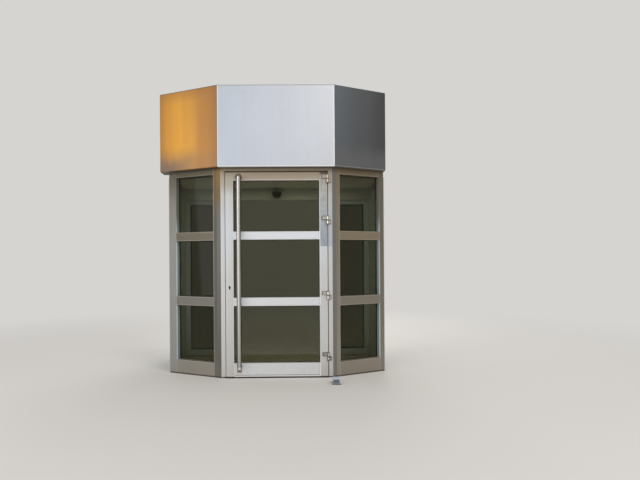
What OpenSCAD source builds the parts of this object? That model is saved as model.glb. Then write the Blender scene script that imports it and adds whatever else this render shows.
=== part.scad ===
// Canted glazed entrance bay with a hinged door.
// A straight door frame stands between two sidelights that turn back to the lobby's side
// walls. A deep sheet metal fascia runs over all three, and a shallow lobby with a fixed
// inner screen lies behind them.
// X runs to the right along the door, Y into the lobby and Z up. The origin is on the
// ground, under the middle of the door frame's street face.

/* [Door frame] */
// Width of the door frame over its two jambs
frame_w = 1200; // [1040:10:1500]
// Height from the ground to the top of the outer frames
frame_h = 2254; // [2100:2:2450]
// Depth of every outer frame from its street face
frame_d = 80; // [74:1:110]
// Face width of a jamb
jamb_w = 44; // [38:1:60]
// Face height of the head
head_h = 32; // [28:1:60]
// Height of the sill between the jambs
sill_h = 8; // [6:1:12]
// How far the sill stands out before the frame
sill_nose = 12; // [5:1:20]
// Distance between the grooves in the sill
groove_step = 8; // [6:1:12]
// Depth of the grooves in the sill
groove_depth = 1.5; // [0.5:0.25:2.5]
// How far a stop laps over the edge of the leaf
stop_lap = 12; // [8:1:16]

/* [Door leaf] */
// Thickness of the leaf
leaf_t = 45; // [40:1:52]
// Gap between the lock stile and its jamb
lock_gap = 6; // [5:0.5:9]
// Gap between the hinge stile and its jamb
hinge_gap = 9; // [7:0.5:12]
// Gap over the leaf
top_gap = 14; // [6:0.5:18]
// Gap under the leaf
bottom_gap = 6; // [5:0.5:12]
// Gap between the back of the leaf and the stops
stop_gap = 5; // [5:0.5:8]
// Face width of a stile
stile_w = 89; // [75:1:110]
// Face height of the top rail
top_rail_h = 90; // [75:1:120]
// Face height of the bottom rail
bottom_rail_h = 148; // [120:1:220]
// Height of the drip lip along the bottom rail
drip_h = 13; // [8:1:20]
// How far the drip lip stands out of the bottom rail
drip_out = 4; // [2:0.5:6]
// Depth of the glass behind the face of the leaf
leaf_glass_y = 20; // [14:1:26]

/* [Crossbars] */
// Height of the middle of the lower crossbars
lower_bar_z = 817; // [700:1:950]
// Face height of the lower crossbars
lower_bar_h = 97; // [70:1:120]
// Height of the middle of the upper crossbars
upper_bar_z = 1529; // [1400:1:1650]
// Face height of the upper crossbars
upper_bar_h = 94; // [70:1:120]

/* [Sidelights] */
// Angle by which each sidelight turns back from the door
cant = 25; // [15:0.5:35]
// Length of a sidelight along its street face
side_w = 675; // [560:5:900]
// Width of the corner post on the sidelight's face
post_w = 49; // [40:1:70]
// Face width of the stile beside the corner post
near_stile_w = 45; // [36:1:70]
// Width of the post where the left sidelight meets the wall
left_wall_post_w = 91; // [60:1:120]
// Width of the post where the right sidelight meets the wall
right_wall_post_w = 54; // [50:1:120]
// Face height of the sidelight's bottom rail
side_bottom_h = 157; // [120:1:220]
// Face height of the sidelight's top rail
side_top_h = 63; // [50:1:100]
// Depth of the glass behind the sidelight's face
side_glass_d = 60; // [40:1:62]

/* [Glazing] */
// Thickness of every pane
glass_t = 6; // [4:0.5:8]
// How far a pane and its beads lie in the frame's rebate
bite = 12; // [10:1:15]
// Clearance between a pane's edge and the bottom of its rebate
glass_edge_gap = 3; // [2:0.5:5]
// How much wider a bead opens at the street than at the glass
bead_flare = 5; // [2:0.5:7]
// Seat clearance between pieces that are fixed together
seam = 0.3; // [0.2:0.05:0.5]

/* [Fascia] */
// Height of the fascia over the frames
fascia_h = 866; // [500:2:1100]
// Distance from the frames' street face out to the fascia's face
fascia_gap = 90; // [40:1:160]
// How far the fascia runs past the end of the left sidelight
fascia_past_left = 86; // [5:1:120]
// How far the fascia runs past the end of the right sidelight
fascia_past_right = 6; // [5:1:120]
// How far the fascia runs back behind the ends of the sidelights
fascia_behind = 62; // [20:1:200]
// Thickness of the fascia's sheet metal
sheet_t = 3; // [2:0.5:5]
// Width of the sheets' folded edges
fold_w = 30; // [20:1:40]
// Outer radius of the sheets' folds
fold_r = 8; // [6:0.5:12]
// Width of the open joint between two sheets
sheet_joint = 1; // [0.5:0.1:3]
// Thickness of the board under the fascia
soffit_t = 12; // [9:1:20]
// Leg of the angle bars behind the sheets
angle_leg = 40; // [30:1:50]
// Thickness of the angle bars
angle_t = 4; // [3:0.5:6]

/* [Lobby] */
// How far the end of a sidelight laps over the face of the side wall
wall_lap = 12; // [6:1:20]
// How far the side wall's lining stands past the end of a sidelight
wall_past = 6; // [3:1:100]
// Distance from the top of the outer frames down to the lobby's ceiling
ceiling_drop = 61; // [46:1:75]
// Thickness of the ceiling board
ceiling_t = 12; // [9:1:18]
// Thickness of the floor tiles
floor_t = 8; // [5:1:12]
// Distance from the door's street face to the inner screen
inner_y = 1176; // [900:2:1500]
// Depth of the inner screen's frame
inner_d = 50; // [40:1:70]
// Half of the clear width of the inner doorway
inner_half_w = 700; // [500:5:800]
// Face width of the inner screen's stiles
inner_stile_w = 61; // [40:1:80]
// Height of the inner screen's bottom rail
inner_bottom_h = 91; // [60:1:150]
// Height of the inner screen's top rail
inner_top_h = 53; // [45:1:90]
// Width of the black gaskets round the inner panes
gasket_w = 13; // [8:1:16]
// Height of the operator's casing under the ceiling
casing_h = 154; // [120:1:200]
// How far the casing stands out before the inner screen
casing_reach = 46; // [20:1:90]
// Radius of the casing's lower front edge
casing_r = 20; // [8:1:40]
// Radius of the motion sensor's dome
dome_r = 60; // [50:1:70]
// Height of the motion sensor's upright rim
dome_rim_h = 20; // [10:1:30]
// Distance from the underside of the casing up to the dome
dome_up = 21; // [5:1:30]
// Gap between the dome and the casing
dome_gap = 6; // [2:1:15]

/* [Hardware] */
// Distance from the bottom of the leaf up to the lowest hinge
first_hinge = 211; // [150:1:260]
// Distance from the bottom of the leaf up to the second hinge
second_hinge = 868; // [700:1:980]
// Distance from the top of the leaf down to the third hinge
third_hinge = 517; // [400:1:600]
// Distance from the top of the leaf down to the highest hinge
top_hinge = 71; // [60:1:120]
// Diameter of a hinge barrel
barrel_d = 26; // [18:0.5:28]
// How far the hinges' axis lies on the leaf's side of the gap's middle
hinge_in = 3.5; // [0:0.5:4]
// Diameter of a hinge pin
pin_d = 10; // [8:0.5:12]
// Clearance round a hinge pin
pin_fit = 0.1; // [0.05:0.01:0.2]
// Overall height of a hinge
hinge_h = 94; // [70:1:130]
// Clearance between a barrel and the faces behind it
barrel_gap = 0.5; // [0.3:0.1:1]
// Width of a hinge wing on the leaf
leaf_wing_w = 48; // [24:1:60]
// Width of a hinge wing on the jamb
jamb_wing_w = 25; // [14:1:30]
// Thickness of the hinge wings
wing_t = 12; // [8:0.5:13]
// Radius of the wings' outer front edges
wing_edge_r = 7; // [2:0.5:7.5]
// Radius of the turned ends of a barrel
barrel_end_r = 4; // [2:0.5:6]
// Height of the bearing ring between the halves
bearing_h = 3; // [2:0.5:5]
// How far the bearing ring lies inside the barrel's surface
bearing_step = 1.5; // [0.5:0.25:2.5]
// Clearance over the end of a hinge pin
pin_end_gap = 2; // [1:0.5:4]
// Radius of the screw holes in the lowest hinge's wing on the leaf
screw_r = 4; // [2.5:0.25:4.5]
// Diameter of the pull bar
pull_d = 48; // [30:1:50]
// Radius of the pull bar's end edges
pull_end_r = 20; // [3:0.5:24]
// Distance from the leaf's edge to the middle of the pull bar
pull_in = 149; // [125:1:200]
// Distance from the leaf's face to the middle of the pull bar
pull_reach = 75; // [60:1:95]
// Distance from the bottom of the leaf up to the pull bar's end
pull_foot = 83; // [50:1:100]
// Distance from the top of the leaf down to the pull bar's end
pull_head = 37; // [20:1:45]
// Distance from each end of the pull bar to its arm
pull_arm_in = 30; // [24:1:60]
// Diameter of the pull bar's arms
arm_d = 20; // [16:1:24]
// Diameter of the arms' roses
rose_d = 44; // [36:1:50]
// Thickness of the arms' roses
rose_t = 6; // [4:0.5:9]
// Height of the lock cylinder's round barrel
lock_z = 977; // [930:1:1100]
// Distance from the leaf's edge to the lock cylinder
lock_backset = 42; // [30:1:55]
// How far the lock cylinder stands out of each face
lock_proud = 2; // [1:0.5:4]
// Radius of the lock cylinder's round barrel
lock_r = 8.5; // [8:0.5:11]
// Half the thickness of the lock cylinder's web
lock_web_r = 5; // [4:0.5:6]
// Distance from the round barrel's middle down to the end of the web
lock_drop = 19.5; // [17:0.5:22]
// Distance from the hinge axis to the middle of the door stop
stop_past_hinge = 54; // [53:0.5:80]
// Distance from the door's street face to the middle of the door stop
stop_out = 262; // [240:1:330]
// Width of the door stop's block
stop_w = 52; // [40:1:60]
// How far the door stop's cap stands out over the block on each side
stop_cap_lip = 4; // [1:0.5:6]
// Height of the door stop's cap
stop_cap_h = 14; // [10:0.5:20]
// Length of the door stop's block
stop_l = 90; // [60:1:110]
// Height of the door stop
stop_h = 59; // [45:1:90]
// Radius of the door stop's upper edges
stop_edge_r = 8; // [3:1:10]
// Thickness of the door stop's foot plate
stop_foot_t = 9; // [6:1:12]
// Width of the foot plate's edge round the block
stop_foot_rim = 17; // [8:1:20]

/* [Hidden] */
$fn = 48;
half_w = frame_w / 2;
leaf_left = -half_w + jamb_w + lock_gap;
leaf_right = half_w - jamb_w - hinge_gap;
leaf_bottom = sill_h + bottom_gap;
leaf_top = frame_h - head_h - top_gap;
stop_y = leaf_t + stop_gap;
lower_bar = [lower_bar_z - lower_bar_h / 2, lower_bar_z + lower_bar_h / 2];
upper_bar = [upper_bar_z - upper_bar_h / 2, upper_bar_z + upper_bar_h / 2];
leaf_panes = [
    [leaf_bottom + bottom_rail_h, lower_bar[0]],
    [lower_bar[1], upper_bar[0]],
    [upper_bar[1], leaf_top - top_rail_h]];
side_panes = [
    [side_bottom_h, lower_bar[0]],
    [lower_bar[1], upper_bar[0]],
    [upper_bar[1], frame_h - side_top_h]];
leaf_sight = [leaf_left + stile_w, leaf_right - stile_w];
left_sight = [post_w + near_stile_w, side_w - left_wall_post_w];
right_sight = [post_w + near_stile_w, side_w - right_wall_post_w];
hinge_x = (leaf_right + half_w - jamb_w) / 2 - hinge_in;
hinge_y = -barrel_d / 2 - barrel_gap;
hinge_heights = [leaf_bottom + first_hinge, leaf_bottom + second_hinge,
                 leaf_top - third_hinge, leaf_top - top_hinge];
pull_x = leaf_left + pull_in;
pull_bottom = leaf_bottom + pull_foot;
pull_top = leaf_top - pull_head;
stop_x = hinge_x + stop_past_hinge;
side_end = side_point(side_w, 0);
fascia_left = side_end[0] + fascia_past_left;
fascia_right = side_end[0] + fascia_past_right;
fascia_back_y = side_point(side_w, frame_d)[1] + fascia_behind;
lobby_half_w = side_end[0] - wall_lap;
lobby_outer = side_end[0] + wall_past;
ceiling_z = frame_h - ceiling_drop;
header_z = ceiling_z - casing_h;
inner_glass_top = header_z - inner_top_h;
fascia_z = frame_h;
fascia_top_z = frame_h + fascia_h;
soffit_inset = sheet_t + fold_w + seam - fascia_gap;
rib_inset = sheet_t + seam - fascia_gap;
angle_bottom = fascia_z + soffit_t + seam;
angle_top = fascia_top_z - sheet_t - fold_r - 2 * seam;
inner_back = inner_y + inner_d;
inner_sight = [inner_half_w + inner_stile_w, lobby_half_w - inner_stile_w];
inner_glass_y = inner_y + (inner_d - glass_t) / 2;
// Straight pieces in each arc
arc_steps = 12;
// How far a cut runs past the face that it opens
overrun = 1;
// How deep one solid of a piece runs into the next
bond = 1;

// Half width of the bay's front where its outline is moved inwards by inset
function half_at(inset) = half_w - inset * tan(cant / 2);
// Y of that moved outline at x
function plan_y(x, inset) = inset + max(0, abs(x) - half_at(inset)) * tan(cant);
// Point of the moved outline at x
function plan_point(x, inset) = [x, plan_y(x, inset)];
// Point of the right sidelight, from its distances along and behind the street face
function side_point(along, behind) =
    [half_w + along * cos(cant) - behind * sin(cant), along * sin(cant) + behind * cos(cant)];
// Points of an arc about a centre
function arc(centre, radius, from, to) =
    [for (i = [0 : arc_steps])
        let (turn = from + (to - from) * i / arc_steps)
        centre + radius * [cos(turn), sin(turn)]];

// Box between two opposite corners
module block(low, high) {
    translate(low) cube(high - low);
}

// Vertical prism over a plan between two heights
module upright(points, bottom, top) {
    translate([0, 0, bottom]) linear_extrude(top - bottom) polygon(points);
}

// Prism along X whose section is given in Y and Z
module lengthwise(points, from, to) {
    translate([from, 0, 0]) rotate([90, 0, 90]) linear_extrude(to - from) polygon(points);
}

// Opening that is wider by flare at its front than at its back
module flared_opening(sight, heights, front, back, flare) {
    intersection() {
        upright([[sight[0] - flare, front], [sight[1] + flare, front],
                 [sight[1], back], [sight[0], back]], heights[0] - flare, heights[1] + flare);
        lengthwise([[front, heights[0] - flare], [front, heights[1] + flare],
                    [back, heights[1]], [back, heights[0]]], sight[0] - flare, sight[1] + flare);
    }
}

// Places a piece of the right sidelight, from its distances along and behind the face
module on_right_side() {
    translate([half_w, 0, 0]) rotate([0, 0, cant]) children();
}

// Places a piece of the left sidelight
module on_left_side() {
    mirror([1, 0, 0]) on_right_side() children();
}

module jamb_right() {
    face = half_w - jamb_w;
    lap = leaf_right - stop_lap;
    color("silver")
        upright([[half_w, 0], [face, 0], [face, stop_y], [lap, stop_y], [lap, frame_d],
                 [half_w, frame_d]], 0, frame_h - head_h - seam);
}

module jamb_left() {
    face = jamb_w - half_w;
    lap = leaf_left + stop_lap;
    color("silver")
        upright([[-half_w, 0], [face, 0], [face, stop_y], [lap, stop_y], [lap, frame_d],
                 [-half_w, frame_d]], 0, frame_h - head_h - seam);
}

module frame_head() {
    under = frame_h - head_h;
    color("silver") {
        block([-half_w, 0, under], [half_w, frame_d, frame_h]);
        block([leaf_left + stop_lap + seam, stop_y, leaf_top - stop_lap],
              [leaf_right - stop_lap - seam, frame_d, under + bond]);
    }
}

module door_sill() {
    edge = sill_h / 2;
    color("darkgray") difference() {
        union() {
            lengthwise([[-sill_nose, 0], [stop_y - seam, 0], [stop_y - seam, sill_h],
                        [edge - sill_nose, sill_h], [-sill_nose, edge]],
                       jamb_w - half_w + seam, half_w - jamb_w - seam);
            block([leaf_left + stop_lap + seam, stop_y - bond, 0],
                  [leaf_right - stop_lap - seam, frame_d, sill_h]);
        }
        for (y = [edge : groove_step : stop_y - groove_step])
            block([-half_w, y, sill_h - groove_depth],
                  [half_w, y + groove_step / 2, sill_h + overrun]);
    }
}

// Wedge that turns the corner between the door frame and the right sidelight
module corner_post() {
    upright([[half_w + seam, 0], side_point(post_w, 0), side_point(post_w, frame_d),
             [half_w + seam, frame_d]], 0, frame_h);
}

module corner_post_right() {
    color("dimgray") corner_post();
}

module corner_post_left() {
    color("dimgray") mirror([1, 0, 0]) corner_post();
}

// Rebates for the panes between two distances along the face, open at the lobby side
module side_rebates(sight) {
    for (pane = side_panes)
        block([sight[0] - bite, side_glass_d, pane[0] - bite],
              [sight[1] + bite, frame_d + overrun, pane[1] + bite]);
}

// Crossbar of a sidelight between two heights
module side_bar(sight, bottom, top) {
    color("#7e7870") difference() {
        block([sight[0] + seam, 0, bottom], [sight[1] - seam, frame_d, top]);
        side_rebates(sight);
    }
}

// Upright of a sidelight next to the corner post
module near_stile(sight) {
    color("#7e7870") difference() {
        block([post_w + seam, 0, 0], [sight[0], frame_d, frame_h]);
        side_rebates(sight);
    }
}

// Upright of a sidelight next to the wall
module wall_post(sight) {
    color("#7e7870") difference() {
        block([sight[1], 0, 0], [side_w, frame_d, frame_h]);
        side_rebates(sight);
    }
}

module side_glass(sight) {
    reach = bite - glass_edge_gap;
    color("#5f6a52", 0.6)
        for (pane = side_panes)
            block([sight[0] - reach, side_glass_d + seam, pane[0] - reach],
                  [sight[1] + reach, side_glass_d + seam + glass_t, pane[1] + reach]);
}

module side_beads(sight) {
    front = side_glass_d + glass_t + 2 * seam;
    reach = bite - seam;
    color("#7e7870")
        for (pane = side_panes) difference() {
            block([sight[0] - reach, front, pane[0] - reach],
                  [sight[1] + reach, frame_d, pane[1] + reach]);
            block([sight[0], front - overrun, pane[0]],
                  [sight[1], frame_d + overrun, pane[1]]);
        }
}

module left_near_stile() { on_left_side() near_stile(left_sight); }
module left_wall_post() { on_left_side() wall_post(left_sight); }
module left_top_rail() { on_left_side() side_bar(left_sight, frame_h - side_top_h, frame_h); }
module left_upper_bar() { on_left_side() side_bar(left_sight, upper_bar[0], upper_bar[1]); }
module left_lower_bar() { on_left_side() side_bar(left_sight, lower_bar[0], lower_bar[1]); }
module left_bottom_rail() { on_left_side() side_bar(left_sight, 0, side_bottom_h); }
module left_panes() { on_left_side() side_glass(left_sight); }
module left_beads() { on_left_side() side_beads(left_sight); }
module right_near_stile() { on_right_side() near_stile(right_sight); }
module right_wall_post() { on_right_side() wall_post(right_sight); }
module right_top_rail() { on_right_side() side_bar(right_sight, frame_h - side_top_h, frame_h); }
module right_upper_bar() { on_right_side() side_bar(right_sight, upper_bar[0], upper_bar[1]); }
module right_lower_bar() { on_right_side() side_bar(right_sight, lower_bar[0], lower_bar[1]); }
module right_bottom_rail() { on_right_side() side_bar(right_sight, 0, side_bottom_h); }
module right_panes() { on_right_side() side_glass(right_sight); }
module right_beads() { on_right_side() side_beads(right_sight); }

// Plan of a strip along the right canted face, from its mitred corner to its end
function canted_strip(end, outer, inner) = [
    plan_point(half_at(outer) + sheet_joint / 2, outer), plan_point(end, outer),
    plan_point(end, inner), plan_point(half_at(inner) + sheet_joint / 2, inner)];

// Plan of a strip along the front face, mitred at both corners
function front_strip(outer, inner) = [
    [-half_at(outer) + sheet_joint / 2, outer], [half_at(outer) - sheet_joint / 2, outer],
    [half_at(inner) - sheet_joint / 2, inner], [-half_at(inner) + sheet_joint / 2, inner]];

// Section of a sheet whose lower and upper edges are folded back round a radius
function folded_section() =
    let (low = fascia_z, high = fascia_top_z - sheet_t - seam, back = sheet_t + fold_w,
         low_bend = [fold_r, low + fold_r], high_bend = [fold_r, high - fold_r])
    concat([[back, low]], arc(low_bend, fold_r, 270, 180), arc(high_bend, fold_r, 180, 90),
           [[back, high], [back, high - sheet_t]], arc(high_bend, fold_r - sheet_t, 90, 180),
           arc(low_bend, fold_r - sheet_t, 180, 270), [[back, low + sheet_t]]);

// Sheet of the right canted face, as long as the left or the right one
module canted_sheet(end) {
    outer = -fascia_gap;
    run = (end - half_at(outer)) / cos(cant);
    intersection() {
        upright(canted_strip(end, outer, outer + sheet_t + fold_w), fascia_z, fascia_top_z);
        translate([half_at(outer), outer, 0]) rotate([0, 0, cant])
            lengthwise(folded_section(), -fold_w, run + fold_w);
    }
}

module fascia_left_sheet() {
    color("#d99a48") mirror([1, 0, 0]) canted_sheet(fascia_left);
}

module fascia_right_sheet() {
    color("#5a5a60") canted_sheet(fascia_right);
}

module fascia_front_sheet() {
    outer = -fascia_gap;
    color("#cfd2dc") intersection() {
        upright(front_strip(outer, outer + sheet_t + fold_w), fascia_z, fascia_top_z);
        translate([0, outer, 0]) lengthwise(folded_section(), -half_at(outer), half_at(outer));
    }
}

// Plan of the whole fascia behind an inset outline
function fascia_plan(inset) = [
    plan_point(-fascia_left, inset), [-half_at(inset), inset], [half_at(inset), inset],
    plan_point(fascia_right, inset), [fascia_right, fascia_back_y], [-fascia_left, fascia_back_y]];

module fascia_top_sheet() {
    color("#8a8d90")
        upright(fascia_plan(-fascia_gap), fascia_top_z - sheet_t, fascia_top_z);
}

module soffit_board() {
    color("#4a4742")
        upright(fascia_plan(soffit_inset), fascia_z + seam, fascia_z + soffit_t);
}

// Back and both ends of the fascia, folded from one sheet
module fascia_back_sheet() {
    bottom = fascia_z + soffit_t + seam;
    top = fascia_top_z - sheet_t - seam;
    color("#8a8d90") {
        upright([[-fascia_left, fascia_back_y - sheet_t], [fascia_right, fascia_back_y - sheet_t],
                 [fascia_right, fascia_back_y], [-fascia_left, fascia_back_y]], bottom, top);
        for (end = [-fascia_left, fascia_right])
            upright([plan_point(end, soffit_inset),
                     plan_point(end - sign(end) * sheet_t, soffit_inset),
                     [end - sign(end) * sheet_t, fascia_back_y], [end, fascia_back_y]],
                    bottom, top);
    }
}

// Angle bar bent to the corner, behind the joint of two sheets
module corner_angle() {
    outer = rib_inset;
    inner = rib_inset + angle_t;
    leg_end = half_at(outer) + angle_leg * cos(cant);
    upright([[half_at(outer) - angle_leg, outer], [half_at(outer), outer],
             plan_point(leg_end, outer), plan_point(leg_end, inner), [half_at(inner), inner],
             [half_at(outer) - angle_leg, inner]], angle_bottom, angle_top);
}

// Angle bar at an end of the fascia
module end_angle(side, end) {
    tip = end - sheet_t - seam;
    heel = tip - angle_leg * cos(cant);
    upright([plan_point(side * heel, rib_inset), plan_point(side * tip, rib_inset),
             plan_point(side * tip, rib_inset + angle_leg),
             plan_point(side * (tip - angle_t), rib_inset + angle_leg),
             plan_point(side * (tip - angle_t), rib_inset + angle_t),
             plan_point(side * heel, rib_inset + angle_t)], angle_bottom, angle_top);
}

module fascia_angles() {
    color("gray") {
        corner_angle();
        mirror([1, 0, 0]) corner_angle();
        end_angle(-1, fascia_left);
        end_angle(1, fascia_right);
    }
}

// Plan of the lobby between its side walls, behind the outer frames
function lobby_plan(half, back) = [
    plan_point(-half, frame_d + seam), [-half_at(frame_d + seam), frame_d + seam],
    [half_at(frame_d + seam), frame_d + seam], plan_point(half, frame_d + seam),
    [half, back], [-half, back]];

module lobby_ceiling() {
    color("#e6e2d8")
        upright(lobby_plan(lobby_outer, inner_back), ceiling_z, ceiling_z + ceiling_t);
}

module lobby_floor() {
    color("#b9b08f") upright(lobby_plan(lobby_half_w - seam, inner_back), 0, floor_t);
}

// Lining of a side wall, from the end of the sidelight to the inner screen
module lobby_wall() {
    far = side_point(side_w + seam, 0);
    slope = (lobby_half_w - far[0]) / -tan(cant);
    color("#8f8f86")
        upright([far, [lobby_outer, far[1]], [lobby_outer, inner_back],
                 [lobby_half_w, inner_back], [lobby_half_w, far[1] + slope]],
                0, ceiling_z - seam);
}

module lobby_wall_right() { lobby_wall(); }
module lobby_wall_left() { mirror([1, 0, 0]) lobby_wall(); }

module operator_casing() {
    front = inner_y - casing_reach;
    top = ceiling_z - seam;
    end = lobby_half_w - seam;
    color("#9a9a90")
        lengthwise(concat(arc([front + casing_r, header_z + casing_r], casing_r, 180, 270),
                          [[inner_back, header_z], [inner_back, top], [front, top]]),
                   -end, end);
}

module motion_sensor() {
    face = inner_y - casing_reach - seam;
    centre_y = face - dome_gap - dome_r;
    ball_z = header_z + dome_up + dome_r;
    color("#141414") {
        translate([0, centre_y, ball_z])
            rotate_extrude() polygon(concat([[0, dome_rim_h]],
                arc([0, 0], dome_r, -90, 0), [[dome_r, dome_rim_h]]));
        block([-dome_r / 2, centre_y, ball_z], [dome_r / 2, face, ball_z + dome_rim_h]);
    }
}

// Side panel of the inner screen, at the right of its doorway
module inner_frame() {
    bottom = floor_t + seam;
    top = header_z - seam;
    color("#75776c") difference() {
        block([inner_half_w, inner_y, bottom], [lobby_half_w - seam, inner_back, top]);
        block([inner_sight[0], inner_y - overrun, inner_bottom_h],
              [inner_sight[1], inner_back + overrun, inner_glass_top]);
        block([inner_sight[0] - bite, inner_glass_y, inner_bottom_h - bite],
              [inner_sight[1] + bite, inner_glass_y + glass_t, inner_glass_top + bite]);
    }
}

module inner_pane() {
    reach = bite - glass_edge_gap;
    color("#5f6a52", 0.6)
        block([inner_sight[0] - reach, inner_glass_y + seam, inner_bottom_h - reach],
              [inner_sight[1] + reach, inner_glass_y + glass_t - seam, inner_glass_top + reach]);
}

// Black frame between the pane and the aluminium, at the street side of the pane
module inner_gasket() {
    front = inner_y + seam;
    difference() {
        block([inner_sight[0] + seam, front, inner_bottom_h + seam],
              [inner_sight[1] - seam, inner_glass_y, inner_glass_top - seam]);
        block([inner_sight[0] + gasket_w, front - overrun, inner_bottom_h + gasket_w],
              [inner_sight[1] - gasket_w, inner_glass_y + overrun, inner_glass_top - gasket_w]);
    }
}

module inner_gaskets() {
    color("#101010") {
        inner_gasket();
        mirror([1, 0, 0]) inner_gasket();
    }
}

module inner_frame_right() { inner_frame(); }
module inner_frame_left() { mirror([1, 0, 0]) inner_frame(); }
module inner_pane_right() { inner_pane(); }
module inner_pane_left() { mirror([1, 0, 0]) inner_pane(); }

// Rebates for the panes, open at the street face of the leaf
module leaf_rebates() {
    for (pane = leaf_panes)
        block([leaf_sight[0] - bite, -overrun, pane[0] - bite],
              [leaf_sight[1] + bite, leaf_glass_y + glass_t + 2 * seam, pane[1] + bite]);
}

module leaf_lock_stile() {
    color("lightgray") difference() {
        block([leaf_left, 0, leaf_bottom], [leaf_sight[0], leaf_t, leaf_top]);
        leaf_rebates();
        lock_outline(seam, -overrun, leaf_t + overrun);
    }
}

module leaf_hinge_stile() {
    color("lightgray") difference() {
        block([leaf_sight[1], 0, leaf_bottom], [leaf_right, leaf_t, leaf_top]);
        leaf_rebates();
    }
}

// Rail of the leaf between two heights
module leaf_rail(bottom, top) {
    color("lightgray") difference() {
        block([leaf_sight[0] + seam, 0, bottom], [leaf_sight[1] - seam, leaf_t, top]);
        leaf_rebates();
    }
}

module leaf_top_rail() { leaf_rail(leaf_top - top_rail_h, leaf_top); }
module leaf_upper_bar() { leaf_rail(upper_bar[0], upper_bar[1]); }
module leaf_lower_bar() { leaf_rail(lower_bar[0], lower_bar[1]); }

module leaf_bottom_rail() {
    leaf_rail(leaf_bottom, leaf_bottom + bottom_rail_h);
    color("lightgray")
        lengthwise([[bond, leaf_bottom], [bond, leaf_bottom + drip_h + drip_out],
                    [0, leaf_bottom + drip_h + drip_out], [-drip_out, leaf_bottom + drip_h],
                    [-drip_out, leaf_bottom]], leaf_sight[0] + seam, leaf_sight[1] - seam);
}

module leaf_panes() {
    reach = bite - glass_edge_gap;
    color("#5f6a52", 0.6)
        for (pane = leaf_panes)
            block([leaf_sight[0] - reach, leaf_glass_y + seam, pane[0] - reach],
                  [leaf_sight[1] + reach, leaf_glass_y + seam + glass_t, pane[1] + reach]);
}

module leaf_beads() {
    reach = bite - seam;
    color("whitesmoke")
        for (pane = leaf_panes) difference() {
            block([leaf_sight[0] - reach, 0, pane[0] - reach],
                  [leaf_sight[1] + reach, leaf_glass_y, pane[1] + reach]);
            flared_opening(leaf_sight, pane, 0, leaf_glass_y, bead_flare);
        }
}

// Pull bar with rounded ends, on two arms
module pull_handle() {
    side = pull_d / 2 - pull_end_r;
    long = pull_top - pull_bottom;
    color("gainsboro") {
        translate([pull_x, -pull_reach, pull_bottom]) rotate_extrude()
            polygon(concat([[0, long], [0, 0]], arc([side, pull_end_r], pull_end_r, -90, 0),
                           arc([side, long - pull_end_r], pull_end_r, 0, 90)));
        for (z = [pull_bottom + pull_arm_in, pull_top - pull_arm_in])
            translate([pull_x, -rose_t - 2 * seam, z]) rotate([90, 0, 0])
                cylinder(d = arm_d, h = pull_reach - rose_t);
    }
}

module pull_roses() {
    color("#2a2926")
        for (z = [pull_bottom + pull_arm_in, pull_top - pull_arm_in])
            translate([pull_x, -seam, z]) rotate([90, 0, 0]) rotate_extrude()
                polygon([[0, 0], [rose_d / 2, 0], [rose_d / 2, rose_t / 2],
                         [rose_d / 2 - rose_t / 2, rose_t], [0, rose_t]]);
}

// Profile cylinder of the lock from one depth to another, grown by a clearance
module lock_outline(grow, from, to) {
    translate([leaf_left + lock_backset, to, lock_z]) rotate([90, 0, 0]) linear_extrude(to - from) {
        circle(r = lock_r + grow);
        translate([0, -lock_drop]) circle(r = lock_web_r + grow);
        translate([-lock_web_r - grow, -lock_drop]) square([2 * (lock_web_r + grow), lock_drop]);
    }
}

module lock_cylinder() {
    color("goldenrod") lock_outline(0, -lock_proud, leaf_t + lock_proud);
}

// Places a hinge piece at each height, about the hinge axis
module at_hinges() {
    for (z = hinge_heights)
        translate([hinge_x, hinge_y, z]) children();
}

// Barrel from the middle of the hinge up, with a turned end
module barrel(start) {
    top = hinge_h / 2;
    r = barrel_d / 2;
    rotate_extrude() polygon(concat([[0, start], [r, start]],
        arc([r - barrel_end_r, top - barrel_end_r], barrel_end_r, 0, 90), [[0, top]]));
}

// Wing of a given width to the right of the barrel, with a rounded outer edge
module wing(width, bottom, top) {
    back = -hinge_y - seam;
    front = back - wing_t;
    end = barrel_d / 2 + width;
    upright(concat([[0, back], [0, front]],
        arc([end - wing_edge_r, front + wing_edge_r], wing_edge_r, -90, 0), [[end, back]]),
        bottom, top);
}

// Screw holes through a wing of the same width
module wing_holes(width) {
    for (step = [1, 3])
        translate([barrel_d / 2 + width / 2, 0, step * hinge_h / 8])
            rotate([90, 0, 0]) cylinder(r = screw_r, h = 2 * barrel_d, center = true);
}

module hinge_leaf_halves() {
    color("silver") difference() {
        at_hinges() difference() {
            union() {
                barrel(bearing_h + seam);
                mirror([1, 0, 0]) wing(leaf_wing_w, bearing_h + seam, hinge_h / 2 - barrel_end_r);
            }
            cylinder(d = pin_d + 2 * pin_fit, h = hinge_h / 2 - barrel_end_r);
        }
        translate([hinge_x, hinge_y, hinge_heights[0]]) mirror([1, 0, 0]) wing_holes(leaf_wing_w);
    }
}

// Lower barrels with their pins, wings and bearing rings
module hinge_jamb_halves() {
    color("silver") at_hinges() {
        mirror([0, 0, 1]) barrel(0);
        cylinder(d = barrel_d - 2 * bearing_step, h = bearing_h);
        cylinder(d = pin_d, h = hinge_h / 2 - barrel_end_r - pin_end_gap);
        wing(jamb_wing_w, barrel_end_r - hinge_h / 2, 0);
    }
}

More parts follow.
